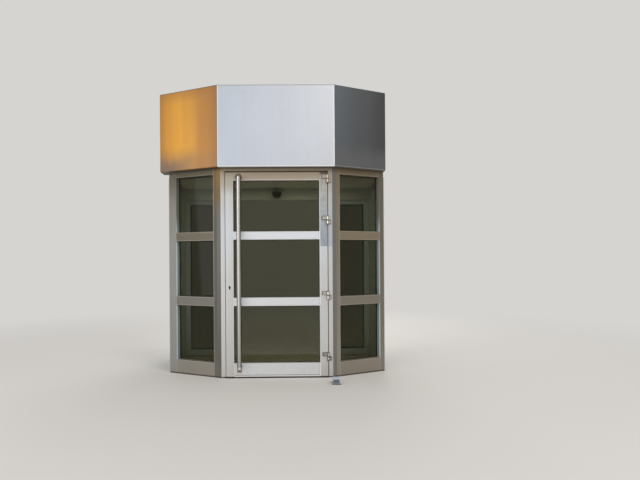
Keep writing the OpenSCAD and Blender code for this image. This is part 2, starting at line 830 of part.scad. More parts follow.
// Foot plate with the stop's block and its wider cap, whose top edges are rounded
module door_stop() {
    half = stop_w / 2;
    cap = half + stop_cap_lip;
    cap_z = stop_h - stop_cap_h;
    round_z = stop_h - stop_edge_r;
    color("slategray") translate([stop_x, -stop_out, 0]) {
        block([-half - stop_foot_rim, -stop_l / 2 - stop_foot_rim / 2, 0],
              [half + stop_foot_rim, stop_l / 2 + stop_foot_rim / 2, stop_foot_t]);
        translate([0, stop_l / 2, 0]) rotate([90, 0, 0]) linear_extrude(stop_l)
            polygon(concat([[-half, stop_foot_t / 2], [half, stop_foot_t / 2],
                            [half, cap_z - stop_cap_lip], [cap, cap_z]],
                arc([cap - stop_edge_r, round_z], stop_edge_r, 0, 90),
                arc([stop_edge_r - cap, round_z], stop_edge_r, 90, 180),
                [[-cap, cap_z], [-half, cap_z - stop_cap_lip]]));
    }
}

jamb_left();
jamb_right();
frame_head();
door_sill();
corner_post_left();
corner_post_right();
left_near_stile();
left_wall_post();
left_top_rail();
left_upper_bar();
left_lower_bar();
left_bottom_rail();
left_panes();
left_beads();
right_near_stile();
right_wall_post();
right_top_rail();
right_upper_bar();
right_lower_bar();
right_bottom_rail();
right_panes();
right_beads();
fascia_left_sheet();
fascia_front_sheet();
fascia_right_sheet();
fascia_top_sheet();
fascia_back_sheet();
fascia_angles();
soffit_board();
lobby_ceiling();
lobby_floor();
lobby_wall_left();
lobby_wall_right();
operator_casing();
motion_sensor();
inner_frame_left();
inner_frame_right();
inner_pane_left();
inner_pane_right();
inner_gaskets();
leaf_lock_stile();
leaf_hinge_stile();
leaf_top_rail();
leaf_upper_bar();
leaf_lower_bar();
leaf_bottom_rail();
leaf_panes();
leaf_beads();
pull_handle();
pull_roses();
lock_cylinder();
hinge_leaf_halves();
hinge_jamb_halves();
door_stop();
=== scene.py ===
"""Looks of a canted glazed entrance bay with a hinged door.

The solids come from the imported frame. This script gives each one a finish, adds the seals,
screws, lock parts, foot brush and other small pieces, and sets up the studio and the camera.
Lengths are in metres, X to the right, Y into the lobby, Z up.
"""
import math

import bmesh
import bpy
from mathutils import Matrix, Vector


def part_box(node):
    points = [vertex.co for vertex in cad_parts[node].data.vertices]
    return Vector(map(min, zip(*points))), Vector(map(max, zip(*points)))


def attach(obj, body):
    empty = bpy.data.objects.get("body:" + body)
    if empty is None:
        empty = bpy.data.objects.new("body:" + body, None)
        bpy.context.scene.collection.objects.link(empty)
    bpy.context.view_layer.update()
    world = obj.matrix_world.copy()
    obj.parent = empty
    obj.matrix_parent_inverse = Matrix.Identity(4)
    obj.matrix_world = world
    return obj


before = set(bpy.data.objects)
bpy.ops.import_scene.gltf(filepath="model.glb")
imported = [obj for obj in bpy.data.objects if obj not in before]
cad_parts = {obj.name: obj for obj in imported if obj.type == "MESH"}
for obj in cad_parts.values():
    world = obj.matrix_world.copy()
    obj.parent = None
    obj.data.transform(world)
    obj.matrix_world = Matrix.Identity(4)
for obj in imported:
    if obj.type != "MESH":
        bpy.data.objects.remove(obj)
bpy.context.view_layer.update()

# Sizes and places of the solids; glass is given as its faces' (depth, outward sign)
SIDES = (("left", -1), ("right", 1))
HALF_FRAME = 0.600
FRAME_TOP = 2.254
STOP_Y = 0.050
CANT = math.radians(25)
LEAF_X = (-0.550, 0.547)
LEAF_Z = (0.014, 2.208)
LEAF_DEPTH = 0.045
LEAF_MIDDLE = LEAF_DEPTH / 2
LEAF_SIGHT = (-0.461, 0.458)
LEAF_PANES = ((0.162, 0.7685), (0.8655, 1.482), (1.576, 2.118))
LEAF_GLASS = ((0.0203, -1), (0.0263, 1))
SIDE_SIGHTS = {"left": (0.094, 0.584), "right": (0.094, 0.621)}
SIDE_PANES = ((0.157, 0.7685), (0.8655, 1.482), (1.576, 2.191))
SIDE_GLASS = ((0.0603, -1), (0.0663, 1))
INNER_Y = 1.176
INNER_SIGHT = (0.761, 1.1388)
INNER_PANE = (0.091, 1.986)
INNER_GLASS = ((1.2037, 1),)
HINGE_X = 0.548
HINGES = (0.225, 0.882, 1.691, 2.137)
HINGE_HALF = 0.047
HINGE_REACH = 0.064
PULL_X = -0.401
PULL_RADIUS = 0.024
PULL_TOP = 2.156
LOCK_X, LOCK_Z = -0.508, 0.977
LATCH_Z = LOCK_Z + 0.062
BOLT_Z = LOCK_Z - 0.035
STRIKE_X = -0.5562
DRIP_TOP = 0.027
STOP_CAP = 0.0515
STOP_FOOT_TOP = 0.009
CASING_JOINTS = 0.62
FASCIA_Z = (2.254, 3.120)
TILE_STEP, TILE_JOINT = 0.33, 0.004

# Heights and places of marks on them
STREET_SIDE = 0.012
PATCH_FOOT = (1.414, 1.419)
PATCH_LEFT = 0.45
# Painted shade under the head on the hinge stile: its heights and its left end
HEAD_SHADE_BAND = (2.184, 2.192)
HEAD_SHADE_LEFT = 0.468
JOINT_LINE = 0.0035
# Centre of the rust stain under the pull bar and of the painted shadow round its top
STAIN_AND_SHADOW_X = PULL_X - 0.006
FOOT_DUST = 0.22
# A dark line at the foot: painted contact shadow, with dirt
FOOT_SHADE_AND_DIRT_LINE = (0.018, 0.013)
SKY_STREAKS = 0.30


def paint(red, green, blue):
    """A colour given in the display's 0 to 255 steps, as the linear numbers that nodes take."""
    def linear(step):
        share = step / 255
        return share / 12.92 if share <= 0.04045 else ((share + 0.055) / 1.055) ** 2.4
    return tuple(linear(step) for step in (red, green, blue))


def graded(*stops):
    """Colours in steps by their place from 0 to 1, for a ramp."""
    return tuple((place, paint(*steps)) for place, *steps in stops)


def shade(colour, share):
    return tuple(part * share for part in colour)


# Tones by height on bars, and across the face on sheets, hinges and the pull bar.
# Towards the top the tones of bars, posts and the repainted patch turn darker and browner:
# painted shade under the head and the fascia.
# Dark tone of dirt and painted shade round the hinges
HINGE_DIRT_AND_SHADE = (70, 62, 52)
LEAF_TONES = graded((0.0, 213, 212, 210), (0.42, 213, 213, 213), (0.70, 216, 220, 225),
                    (0.86, 208, 210, 210), (0.935, 180, 172, 158), (0.99, 156, 144, 126))
JAMB_TONES = graded((0.0, 214, 211, 208), (0.42, 212, 211, 209), (0.70, 208, 211, 213),
                    (0.86, 198, 199, 198), (0.935, 176, 168, 155), (0.99, 156, 144, 126))
BAR_TONES = graded((0.0, 232, 233, 236), (0.10, 226, 228, 232), (0.36, 229, 230, 233),
                   (0.68, 230, 234, 239), (0.92, 186, 176, 161), (0.97, 165, 150, 131))
BEAD_TONES = graded((0.0, 236, 237, 238), (0.80, 238, 239, 240), (0.97, 206, 200, 190))
# The head's brown tones are painted shade under the soffit
HEAD_TONES = graded((0.0, 164, 152, 133), (1.0, 152, 139, 118))
SILL_TONES = graded((0.0, 150, 147, 142), (1.0, 150, 147, 142))
# Sidelight frames: the left frame darker than the right and both darker towards the top are
# painted light and shade; the orange at the top of the left upright is a painted reflection.
SIDE_TONES = {
    "left upright": graded((0.0, 108, 105, 98), (0.37, 89, 89, 82), (0.76, 84, 83, 73),
                           (0.84, 97, 83, 61), (0.98, 104, 86, 58)),
    "left bar": graded((0.0, 149, 144, 135), (0.37, 117, 114, 109), (0.70, 103, 97, 84),
                       (0.98, 90, 83, 70)),
    "left wall post": graded((0.0, 150, 149, 145), (0.60, 140, 139, 134), (0.80, 132, 129, 122),
                             (0.98, 100, 94, 82)),
    "right upright": graded((0.0, 156, 150, 141), (0.37, 140, 135, 127), (0.70, 134, 126, 110),
                            (0.98, 126, 115, 94)),
    "right bar": graded((0.0, 151, 142, 130), (0.37, 132, 125, 113), (0.70, 134, 123, 102),
                        (0.98, 124, 111, 88)),
    "right wall post": graded((0.0, 137, 133, 125), (0.37, 121, 117, 110),
                              (0.70, 113, 107, 96), (0.98, 108, 100, 85)),
}
INNER_TONES = graded((0.0, 222, 234, 242), (1.0, 206, 214, 216))
CORNER_TONES = graded((0.0, 127, 124, 121), (0.75, 122, 119, 115), (0.98, 114, 109, 101))
# The left corner post's orange top is a painted reflection
ORANGE_REFLECTION_CORNER_TONES = graded((0.0, 104, 103, 100), (0.80, 101, 99, 95), (0.87, 108, 90, 62),
                           (0.99, 121, 96, 60))
# The three fascia sheets are one brushed metal. The orange and the dark grey sheets' tones are
# painted reflections, and so are the silver sheet's bluish tint and its lighter right end.
ORANGE_REFLECTION_TONES = graded((0.0, 167, 121, 75), (0.22, 188, 135, 73), (0.50, 215, 157, 71),
                    (0.66, 222, 162, 67), (0.82, 211, 152, 66), (1.0, 181, 128, 62))
SILVER_TONES = graded((0.0, 197, 206, 217), (0.35, 205, 210, 220), (0.75, 206, 210, 218),
                      (1.0, 204, 207, 213))
DARK_REFLECTION_TONES = graded((0.0, 91, 96, 101), (0.5, 83, 85, 87), (1.0, 70, 70, 70))
REPAINT_TONES = graded((0.0, 157, 166, 178), (0.40, 170, 176, 180), (0.80, 176, 177, 172),
                       (1.0, 162, 157, 143))
# Across a hinge: a painted highlight on the barrel, painted shade in the crease beside it, and
# dirt and painted shade at the wings' outer edges
HINGE_TONES = graded((0.0, 250, 248, 243), (0.10, 236, 232, 224), (0.19, *HINGE_DIRT_AND_SHADE),
                     (0.27, 192, 187, 179), (0.78, 198, 194, 186), (0.91, *HINGE_DIRT_AND_SHADE))
# Across the pull bar: painted reflections, bright on its front and dark on its flanks
BAR_STEEL_TONES = graded((0.0, 198, 197, 194), (0.36, 191, 188, 184), (0.66, 138, 134, 128),
                         (1.0, 106, 102, 97))

# Edges with a painted highlight: (from, to) across the face, up to a height, how strongly
LEAF_LIT_EDGES = ((LEAF_SIGHT[1] - 0.001, LEAF_SIGHT[1] + 0.011, LEAF_PANES[2][1], 0.9),
                  (LEAF_SIGHT[0] - 0.006, LEAF_SIGHT[0] + 0.001, LEAF_PANES[2][1], 0.5))
JAMB_LIT_EDGES = ((-HALF_FRAME - 0.001, -HALF_FRAME + 0.009, FRAME_TOP, 0.2),)


# Node trees
class Wire:
    """An outlet of a node tree."""

    def __init__(self, owner, socket):
        self.owner = owner
        self.socket = socket


def operator(kind, swapped=False):
    """A method that adds a Math node of the kind for a value and what it is worked with."""
    def method(self, *others):
        terms = (*others, self) if swapped else (self, *others)
        return self.owner.node("ShaderNodeMath", {"operation": kind}, *terms)
    return method


class Value(Wire):
    """A number that varies over the surface. Arithmetic on it adds Math nodes."""

    __add__ = __radd__ = operator("ADD")
    __sub__ = operator("SUBTRACT")
    __rsub__ = operator("SUBTRACT", swapped=True)
    __mul__ = __rmul__ = operator("MULTIPLY")
    __truediv__ = operator("DIVIDE")
    __pow__ = operator("POWER")
    __abs__ = operator("ABSOLUTE")
    __mod__ = operator("FLOORED_MODULO")
    above = operator("GREATER_THAN")
    below = operator("LESS_THAN")
    least = operator("MINIMUM")
    most = operator("MAXIMUM")


class Tree:
    """A node tree under construction."""

    def __init__(self, tree):
        self.tree = tree

    def feed(self, socket, value):
        """Links an outlet to the socket, or sets the socket's own value."""
        if isinstance(value, Wire):
            self.tree.links.new(value.socket, socket)
        elif socket.type == "RGBA":
            socket.default_value = (*value, 1.0)
        else:
            socket.default_value = value

    def node(self, kind, settings=None, *places, out=0, **named):
        """Any node: its settings first, then its sockets by position or by name."""
        made = self.tree.nodes.new(kind)
        for key, value in (settings or {}).items():
            if key == "stops":
                self.set_stops(made.color_ramp, value)
            else:
                setattr(made, key, value)
        for key, value in enumerate(places):
            if value is not None:
                self.feed(made.inputs[key], value)
        for key, value in named.items():
            self.feed(made.inputs[key.replace("_", " ")], value)
        if made.outputs:
            socket = made.outputs[out]
            return (Value if socket.type == "VALUE" else Wire)(self, socket)

    @staticmethod
    def set_stops(ramp, stops):
        ramp.interpolation = "EASE"
        while len(ramp.elements) < len(stops):
            ramp.elements.new(1.0)
        for element, (place, colour) in zip(ramp.elements, stops):
            element.position = place
            element.color = (*colour, 1.0)


class Finish(Tree):
    """One procedural material, built from Object coordinates."""

    def __init__(self, name):
        self.material = bpy.data.materials.new(name)
        self.material.use_nodes = True
        super().__init__(self.material.node_tree)
        self.tree.nodes.clear()
        self.surface = self.node("ShaderNodeBsdfPrincipled")
        self.outlet = self.tree.nodes.new("ShaderNodeOutputMaterial").inputs["Surface"]
        self.feed(self.outlet, self.surface)

    def place(self, stretch=(1, 1, 1), turn=0.0):
        """Object coordinates, turned about the upright axis and then stretched."""
        where = self.node("ShaderNodeTexCoord", out="Object")
        if turn:
            where = self.node("ShaderNodeVectorRotate", {"rotation_type": "Z_AXIS"},
                              Vector=where, Angle=turn)
        return self.node("ShaderNodeVectorMath", {"operation": "MULTIPLY"}, where, stretch)

    def axes(self, turn=0.0):
        split = self.node("ShaderNodeSeparateXYZ", None, self.place(turn=turn))
        return [Value(self, socket) for socket in split.socket.node.outputs]

    def noise(self, stretch, detail=2.0, roughness=0.5, distortion=0.0, turn=0.0):
        """Cloudy values about 0.5; stretch is how fine they are along each axis."""
        return self.node("ShaderNodeTexNoise", None, Vector=self.place(stretch, turn), Scale=1.0,
                         Detail=detail, Roughness=roughness, Distortion=distortion)

    def spread(self, value, low, high, start=0.0, end=1.0):
        """Runs smoothly from start to end while the value goes from low to high."""
        return self.node("ShaderNodeMapRange", {"interpolation_type": "SMOOTHSTEP"},
                         value, low, high, start, end)

    def mixed(self, first, second, factor):
        made = self.tree.nodes.new("ShaderNodeMix")
        made.data_type = "RGBA"
        made.clamp_factor = True
        for index, value in ((0, factor), (6, first), (7, second)):
            self.feed(made.inputs[index], value)
        return Wire(self, made.outputs[2])

    def ramp(self, value, stops):
        return self.node("ShaderNodeValToRGB", {"stops": stops}, value)

    def lit(self, colour, amount):
        """The colour made darker or lighter by an amount that is 1 where nothing changes."""
        return self.node("ShaderNodeVectorMath", {"operation": "SCALE"}, colour, Scale=amount)

    def bumped(self, height, depth, strength=1.0):
        return self.node("ShaderNodeBump", None, Height=height, Distance=depth,
                         Strength=strength)

    def blend_in(self, shader, share):
        """Mixes a share of another shader into the finish."""
        self.feed(self.outlet, self.node("ShaderNodeMixShader", None, share, self.surface, shader))

    def done(self, **sockets):
        for key, value in sockets.items():
            self.feed(self.surface.socket.node.inputs[key.replace("_", " ")], value)
        return self.material


# Finishes
def drawn_aluminium(name, tones, along, turn=0.0, dirt=0.12, metal=0.62, marks=None):
    """Satin anodised bars: tones by height, darker towards the top as painted shade, fine drawing
    lines along the bar, dust at the foot, and painted contact shadow with dirt at the very bottom.
    Marks is a function that lays the marks of one bar over its colour, roughness and metal."""
    f = Finish(name)
    axes = f.axes(turn)
    z = axes[2]
    lines = f.noise({"z": (420, 420, 5), "x": (5, 420, 420)}[along], 3, 0.6, turn=turn)
    cloud = f.noise((3, 3, 2), 4, 0.6)
    spots = f.noise((38, 38, 30), 3, 0.65)
    colour = f.ramp(z / FRAME_TOP, tones)
    colour = f.lit(colour, 0.955 + lines * 0.05 + cloud * 0.05)
    foot = f.spread(z, FOOT_DUST, 0.0) * f.spread(cloud + spots * 0.35, 0.45, 0.95)
    colour = f.mixed(colour, paint(150, 141, 128), foot * (dirt * 3))
    # painted contact shadow and dirt along the very bottom
    foot_shade_and_dirt = f.spread(z + spots * 0.004, *FOOT_SHADE_AND_DIRT_LINE)
    colour = f.mixed(colour, paint(52, 45, 38), foot_shade_and_dirt * 0.92)
    smear = f.spread(f.noise((22, 22, 1.6), 3), 0.58, 0.80)
    colour = f.mixed(colour, paint(140, 134, 126), smear * dirt)
    rough = 0.34 + lines * 0.10 + smear * 0.12 + foot * 0.15
    if marks is not None:
        colour, rough, metal = marks(f, axes, colour, rough, metal)
    bump = f.bumped(lines + spots * 0.3, 0.0002, 0.5)
    return f.done(Base_Color=colour, Metallic=metal, Roughness=rough, Normal=bump)


def repainted(share, lit_edges):
    """Marks of the uprights at the hinges: the upper part wears a smooth coat of grey paint, with
    painted shade under the head above it and painted highlights along edges; the hall side is
    painted darker as shade."""
    def marks(f, axes, colour, rough, metal):
        x, y, z = axes
        street = y.below(STREET_SIDE)
        wave = f.noise((9, 9, 4), 3, 0.6)
        blotch = f.spread(f.noise((30, 30, 18), 4, 0.65), 0.35, 0.66)
        patch = f.spread(z + wave * 0.012, *PATCH_FOOT) * x.above(PATCH_LEFT) * street * share
        runs = f.spread(f.noise((90, 90, 7), 3, 0.6), 0.40, 0.62)
        coat = f.lit(f.ramp((z - 1.40) / (LEAF_Z[1] - 1.40), REPAINT_TONES),
                     0.79 + blotch * 0.21 + runs * 0.17)
        colour = f.mixed(colour, coat, patch)
        # painted shade under the head
        head_shade = f.spread(z + wave * 0.006, *HEAD_SHADE_BAND) * x.above(HEAD_SHADE_LEFT)
        head_shade = head_shade * x.below(LEAF_X[1]) * street
        colour = f.mixed(colour, paint(82, 74, 57), head_shade * 0.85)
        # painted highlights along edges
        for start, end, top, strength in lit_edges:
            band = (x.above(start) - x.above(end)) * z.below(top) * street * strength
            colour = f.mixed(colour, paint(250, 251, 252), band)
        # painted shade: the hall side is darker
        return f.lit(colour, 0.87 + street * 0.13), rough + patch * 0.14, metal
    return marks


def rail_marks(f, axes, colour, rough, metal):
    """Marks of the leaf's rails: a painted highlight on the butt joint by the lock stile, a dark
    joint line by the hinge stile, a painted highlight on the drip lip with painted shade under it,
    rust runs under the pull bar, a painted shadow round its top and a hall side painted darker."""
    x, y, z = axes
    street = y.below(STREET_SIDE)
    # painted highlight on the joint by the lock stile; dark joint line by the hinge stile
    joint = x.below(LEAF_SIGHT[0] + JOINT_LINE) * z.below(LEAF_PANES[2][1])
    colour = f.mixed(colour, paint(240, 242, 244), joint * 0.7)
    colour = f.mixed(colour, paint(96, 94, 90), x.above(LEAF_SIGHT[1] - JOINT_LINE) * 0.6)
    # painted highlight on the drip lip and painted shade under it
    drip = z.below(DRIP_TOP)
    under = z.below(DRIP_TOP + 0.006) - drip
    colour = f.mixed(colour, paint(238, 238, 236), drip * 0.8)
    colour = f.mixed(colour, paint(112, 108, 102), under * 0.8)
    ragged = f.noise((70, 70, 90), 4, 0.7)
    aside = abs(x - STAIN_AND_SHADOW_X) + (ragged - 0.5) * 0.03
    stain = f.spread(aside, 0.038, 0.016) * f.spread(z + ragged * 0.02, 0.040, 0.066) * street
    colour = f.mixed(colour, paint(196, 174, 152), stain * z.below(0.12) * 0.7)
    dark = f.spread(aside, 0.027, 0.016) * f.spread(z, 0.056, 0.066) * f.spread(z, 0.094, 0.088)
    colour = f.mixed(colour, paint(92, 74, 58), dark * street * 0.85)
    # painted shadow round the pull bar's top end
    ring = ((x - STAIN_AND_SHADOW_X) ** 2.0 + (z - PULL_TOP) ** 2.0) ** 0.5 + (ragged - 0.5) * 0.016
    bar_top_shadow = f.spread(ring, 0.044, 0.032) * z.above(2.10) * street
    colour = f.mixed(colour, paint(96, 78, 60), bar_top_shadow * 0.85)
    # painted shade: the hall side is darker
    return f.lit(colour, 0.83 + street * 0.17), rough + stain * 0.2, metal


def inner_marks(f, axes, colour, rough, metal):
    """Marks of the inner screen: its face towards the hall is painted darker, as shade."""
    hall_side = axes[1].above(INNER_Y + 0.01)
    return f.lit(colour, 1.0 - hall_side * 0.28), rough, metal


def nearest(value, levels):
    """Distance from the nearest of the levels."""
    near = abs(value - levels[0])
    for level in levels[1:]:
        near = near.least(abs(value - level))
    return near


def side_edges(bars):
    """Marks of a sidelight's frame: painted highlights along the edges by the panes, on its bars
    or its upright, weaker near the top.
    """
    def marks(f, axes, colour, rough, metal):
        x, _, z = axes
        if bars:
            near = nearest(z, [level for pane in SIDE_PANES for level in pane])
        else:
            near = abs(abs(x) - (HALF_FRAME * math.cos(CANT) + SIDE_SIGHTS["left"][0]))
        edge = f.spread(near, 0.0075, 0.0055) * (0.6 + z.below(2.0) * 0.4)
        return f.mixed(colour, paint(200, 190, 172), edge * (0.3 if bars else 0.4)), rough, metal
    return marks


def wall_reveal(sight_end):
    """Marks of a post at the wall: by the pane it has a painted lit edge, a painted shadow line
    and a pale face of painted light, all of them painted darker near the top."""
    def marks(f, axes, colour, rough, metal):
        x, y, z = axes
        depth = y + HALF_FRAME * math.sin(CANT)
        inner_face = abs(abs(x) - (HALF_FRAME * math.cos(CANT) + sight_end)).below(0.0006)
        tone = f.mixed(paint(236, 246, 252), paint(150, 166, 168), depth.above(0.026))
        tone = f.mixed(tone, paint(40, 42, 42), depth.above(0.022) - depth.above(0.030))
        tone = f.mixed(tone, paint(112, 112, 100), f.spread(z, 1.55, 1.80) * 0.85)
        return (f.mixed(colour, tone, inner_face), rough + inner_face * 0.15,
                metal - inner_face * 0.52)
    return marks


def brushed_sheet(name, across, tones, reflection_glow=0.0, low_tint=None, scratch=0.0, rim=0.0):
    """Sheet metal brushed upright: tones across the face, soft long streaks and fine lines.
    The tones, the reflection glow towards the top and the low tint are painted reflections.
    Low tint is a colour towards the lower edge and where it stops fading along the sheet.
    Rim is how strong a painted highlight is on the folded lower edge, the upper edge and the ends."""
    f = Finish(name)
    x, _, z = f.axes()
    start, end = across
    low, high = FASCIA_Z
    fine = f.noise((520, 520, 5), 4, 0.6)
    bands = f.noise((16, 16, 0.55), 3)
    broad = f.noise((3.4, 3.4, 2.2), 3, 0.55)
    along = (x - start) / (end - start)
    colour = f.ramp(along + (bands - 0.5) * 0.10, tones)
    colour = f.lit(colour, 0.910 + fine * 0.06 + (bands - 0.5) * (0.07 + reflection_glow) + broad * 0.12)
    # painted reflection: towards the top the sheet takes its near end's colour
    if reflection_glow:
        colour = f.mixed(colour, tones[0][1], f.spread(z, high - 0.16, high) * 0.55)
    # painted reflection: a ragged tint towards the lower edge
    if low_tint is not None:
        tint, reach = low_tint
        ragged = z - (bands - 0.5) * 0.11 - (broad - 0.5) * 0.22
        near = 1.0 if reach is None else f.spread(along, 0.10, reach, 0.3)
        near_foot = f.spread(ragged, low + 0.286, low + 0.036, 0.0, 0.9)
        colour = f.mixed(colour, tint, near_foot * near)
    if scratch:
        cuts = f.spread(f.noise((150, 150, 7)), 0.70, 0.76)
        marks = cuts * f.spread(f.noise((5, 5, 4)), 0.5, 0.7)
        colour = f.mixed(colour, paint(150, 152, 156), marks * scratch)
    runs = f.spread(f.noise((30, 30, 0.7), 3, 0.55), 0.60, 0.82)
    runs = runs * f.spread(z, high - SKY_STREAKS, high)
    colour = f.mixed(colour, paint(120, 116, 112), runs * 0.18)
    # painted highlight along the folded edges and the ends
    if rim:
        edge = f.spread(z, low + 0.013, low + 0.009)
        edge = edge + f.spread(z, high - 0.010, high - 0.006)
        edge = edge + f.spread(abs(along - 0.5), 0.4925, 0.4955)
        colour = f.mixed(colour, paint(248, 249, 251), edge * rim)
    return f.done(Base_Color=colour, Metallic=0.6, Roughness=0.40 + fine * 0.12 + runs * 0.1,
                  Normal=f.bumped(fine, 0.00012, 0.4))


def painted(name, colour, other, roughness=0.5, metal=0.0, grain=90, bump=0.0003, speck=0.0,
            marks=None):
    """Matt or satin paint with soft patches of a second tone and a fine surface grain.
    Both colours are in display steps; marks lays the marks of one piece over the paint."""
    f = Finish(name)
    other = paint(*other)
    cloud = f.noise((2.6, 2.6, 2.6), 4, 0.6)
    fine = f.noise((grain, grain, grain), 3, 0.6)
    tone = f.mixed(paint(*colour), other, f.spread(cloud + (fine - 0.5) * 0.2, 0.35, 0.68))
    if speck:
        dots = f.spread(f.noise((60, 60, 60), 3, 0.7), 0.68, 0.76)
        tone = f.mixed(tone, shade(other, 0.45), dots * speck)
    if marks is not None:
        tone = marks(f, tone)
    return f.done(Base_Color=tone, Metallic=metal, Normal=f.bumped(fine, bump, 0.6),
                  Roughness=roughness + (fine - 0.5) * 0.14)


def casing_marks(f, tone):
    """Marks of the casing: dark joints of its cover."""
    x = f.axes()[0]
    joint = abs(abs(x) - CASING_JOINTS).below(0.0015)
    return f.mixed(tone, shade(paint(192, 195, 188), 0.2), joint)


def stop_marks(f, tone):
    """Marks of the door stop: a pale cap, partly painted light on its upward face, the foot
    plate's top painted pale as painted light, and the plate's dark edge.
    """
    z = f.axes()[2]
    tone = f.mixed(tone, paint(204, 221, 239), f.spread(z, STOP_CAP, STOP_CAP + 0.002) * 0.9)
    # painted light: the foot plate's top made pale
    tone = f.mixed(tone, paint(214, 209, 200), z.below(STOP_FOOT_TOP + 0.0004) * 0.9)
    return f.mixed(tone, paint(48, 41, 38), f.spread(z, 0.0088, 0.0078) * 0.95)


def tiled_floor():
    f = Finish("lobby floor tiles")
    x, y, _ = f.axes()
    line = (x % TILE_STEP).below(TILE_JOINT) + (y % TILE_STEP).below(TILE_JOINT)
    tile = f.node("ShaderNodeVectorMath", {"operation": "FLOOR"},
                  f.place((1 / TILE_STEP, 1 / TILE_STEP, 0)))
    batch = f.node("ShaderNodeTexWhiteNoise", {"noise_dimensions": "2D"}, tile)
    veins = f.noise((7, 7, 7), 5, 0.65, 0.6)
    colour = f.mixed(paint(186, 176, 146), paint(160, 148, 116), f.spread(veins, 0.35, 0.70))
    colour = f.lit(colour, 0.94 + batch * 0.10)
    colour = f.mixed(colour, paint(104, 98, 84), line)
    return f.done(Base_Color=colour, Roughness=0.28 + veins * 0.2 + line * 0.4,
                  Normal=f.bumped(0.0 - line + veins * 0.08, 0.0008, 0.7))


def pane_glass(name, solid, tint, body, haze_and_reflection):
    """Tinted glass: each face lets the rest of the light through and mirrors a little. Cloudy
    patches in its colour are a film on it and painted reflections, and there is a little dust.
    """
    f = Finish(name)
    film_and_reflection = f.noise((2.2, 2.2, 1.4), 4, 0.6)
    dust = f.spread(f.noise((60, 60, 40), 4, 0.7), 0.55, 0.8)
    # a film and painted reflections: cloudy patches in the glass's colour
    colour = f.mixed(body, haze_and_reflection, f.spread(film_and_reflection, 0.35, 0.75) * 0.5)
    colour = f.mixed(colour, paint(120, 118, 104), dust * 0.05)
    f.blend_in(f.node("ShaderNodeBsdfTransparent", None, tint), 1 - solid)
    return f.done(Base_Color=colour, Roughness=0.035 + dust * 0.05, Specular_IOR_Level=0.16)


def worn_metal(name, colour, dull, metal=0.85, roughness=0.32):
    """Bare or plated metal, dulled in patches. Both colours are in display steps."""
    f = Finish(name)
    cloud = f.noise((40, 40, 25), 4, 0.65)
    fine = f.noise((900, 900, 60))
    worn = f.spread(cloud, 0.45, 0.72)
    return f.done(Base_Color=f.mixed(paint(*colour), paint(*dull), worn * 0.7), Metallic=metal,
                  Roughness=roughness + worn * 0.22 + fine * 0.06,
                  Normal=f.bumped(fine + cloud, 0.0002, 0.5))


def hinge_metal():
    """Worn grey hinges: painted highlights on the barrels, dark dirt and painted shade round the
    wings, painted shade in the joint of the halves and at the barrels' ends, the top one painted
    browner as shade under the head, and dark blotches on the lowest one."""
    f = Finish("hinge metal")
    x, _, z = f.axes()
    cloud = f.noise((60, 60, 40), 4, 0.65)
    fine = f.noise((900, 900, 60))
    worn = f.spread(cloud, 0.45, 0.72)
    # painted highlight on the barrel and painted shade beside it
    tone = f.ramp(abs(x - HINGE_X) / HINGE_REACH, HINGE_TONES)
    tone = f.mixed(tone, paint(150, 140, 126), worn * 0.25)
    dirt_and_shade = paint(*HINGE_DIRT_AND_SHADE)
    # dirt and painted shade at the jamb wing's edge
    tone = f.mixed(tone, dirt_and_shade, f.spread(x, HINGE_X + 0.030, HINGE_X + 0.035) * 0.8)
    # painted shade in the joint of the halves and at the barrels' ends
    level = nearest(z, HINGES)
    ring = f.spread(level, 0.0095, 0.0065)
    ends = f.spread(level, HINGE_HALF - 0.0105, HINGE_HALF - 0.007)
    tone = f.mixed(tone, dirt_and_shade, (ring + ends) * 0.8)
    # the top hinge painted browner: painted shade under the head
    top_one = f.spread(z, 2.06, 2.09)
    tone = f.mixed(tone, paint(156, 138, 118), top_one * 0.5)
    # dark blotches on the lowest hinge
    lowest_one = f.spread(z, 0.36, 0.30)
    blob = f.spread(f.noise((120, 120, 60), 3, 0.6), 0.47, 0.60)
    tone = f.mixed(tone, paint(76, 66, 54), lowest_one * (blob * 0.8 + 0.12))
    rough = 0.30 + worn * 0.22 + fine * 0.06 + lowest_one * blob * 0.2
    return f.done(Base_Color=tone, Metallic=0.7, Roughness=rough,
                  Normal=f.bumped(fine + cloud, 0.0002, 0.5))


def pull_bar_steel():
    """Satin steel with turned rings; its front is painted bright and its flanks dark: painted
    reflections of a round bar.
    """
    f = Finish("satin stainless bar")
    x, _, z = f.axes()
    rings = f.noise((12, 12, 900))
    cloud = f.noise((8, 8, 3), 3, 0.6)
    touched = f.spread(abs(z - 1.12), 0.42, 0.10) * f.spread(cloud, 0.35, 0.6)
    # painted reflections: bright front, dark flanks
    colour = f.ramp(abs(x - PULL_X) / PULL_RADIUS, BAR_STEEL_TONES)
    colour = f.mixed(colour, paint(206, 200, 192), touched * 0.3)
    # painted highlight on the tip of the lower end
    tip_highlight = f.spread(z, 0.137, 0.127) * f.spread(abs(x - PULL_X), 0.017, 0.012)
    colour = f.mixed(colour, paint(250, 250, 248), tip_highlight * 0.85)
    ends = f.spread(z, PULL_TOP - 0.010, PULL_TOP) + f.spread(z, 0.108, 0.103)
    colour = f.mixed(colour, paint(122, 104, 88), ends * 0.8)
    colour = f.lit(colour, 0.96 + rings * 0.07)
    return f.done(Base_Color=colour, Metallic=0.92, Roughness=0.22 + rings * 0.1 + touched * 0.08,
                  Normal=f.bumped(rings, 0.0001, 0.35))


def rubber(name="black rubber"):
    f = Finish(name)
    fine = f.noise((300, 300, 300))
    dusty = f.spread(f.noise((9, 9, 9), 4, 0.6), 0.5, 0.8)
    colour = f.mixed(paint(20, 20, 20), paint(58, 56, 52), dusty * 0.5)
    return f.done(Base_Color=colour, Roughness=0.62 + fine * 0.15,
                  Normal=f.bumped(fine, 0.0001, 0.5))


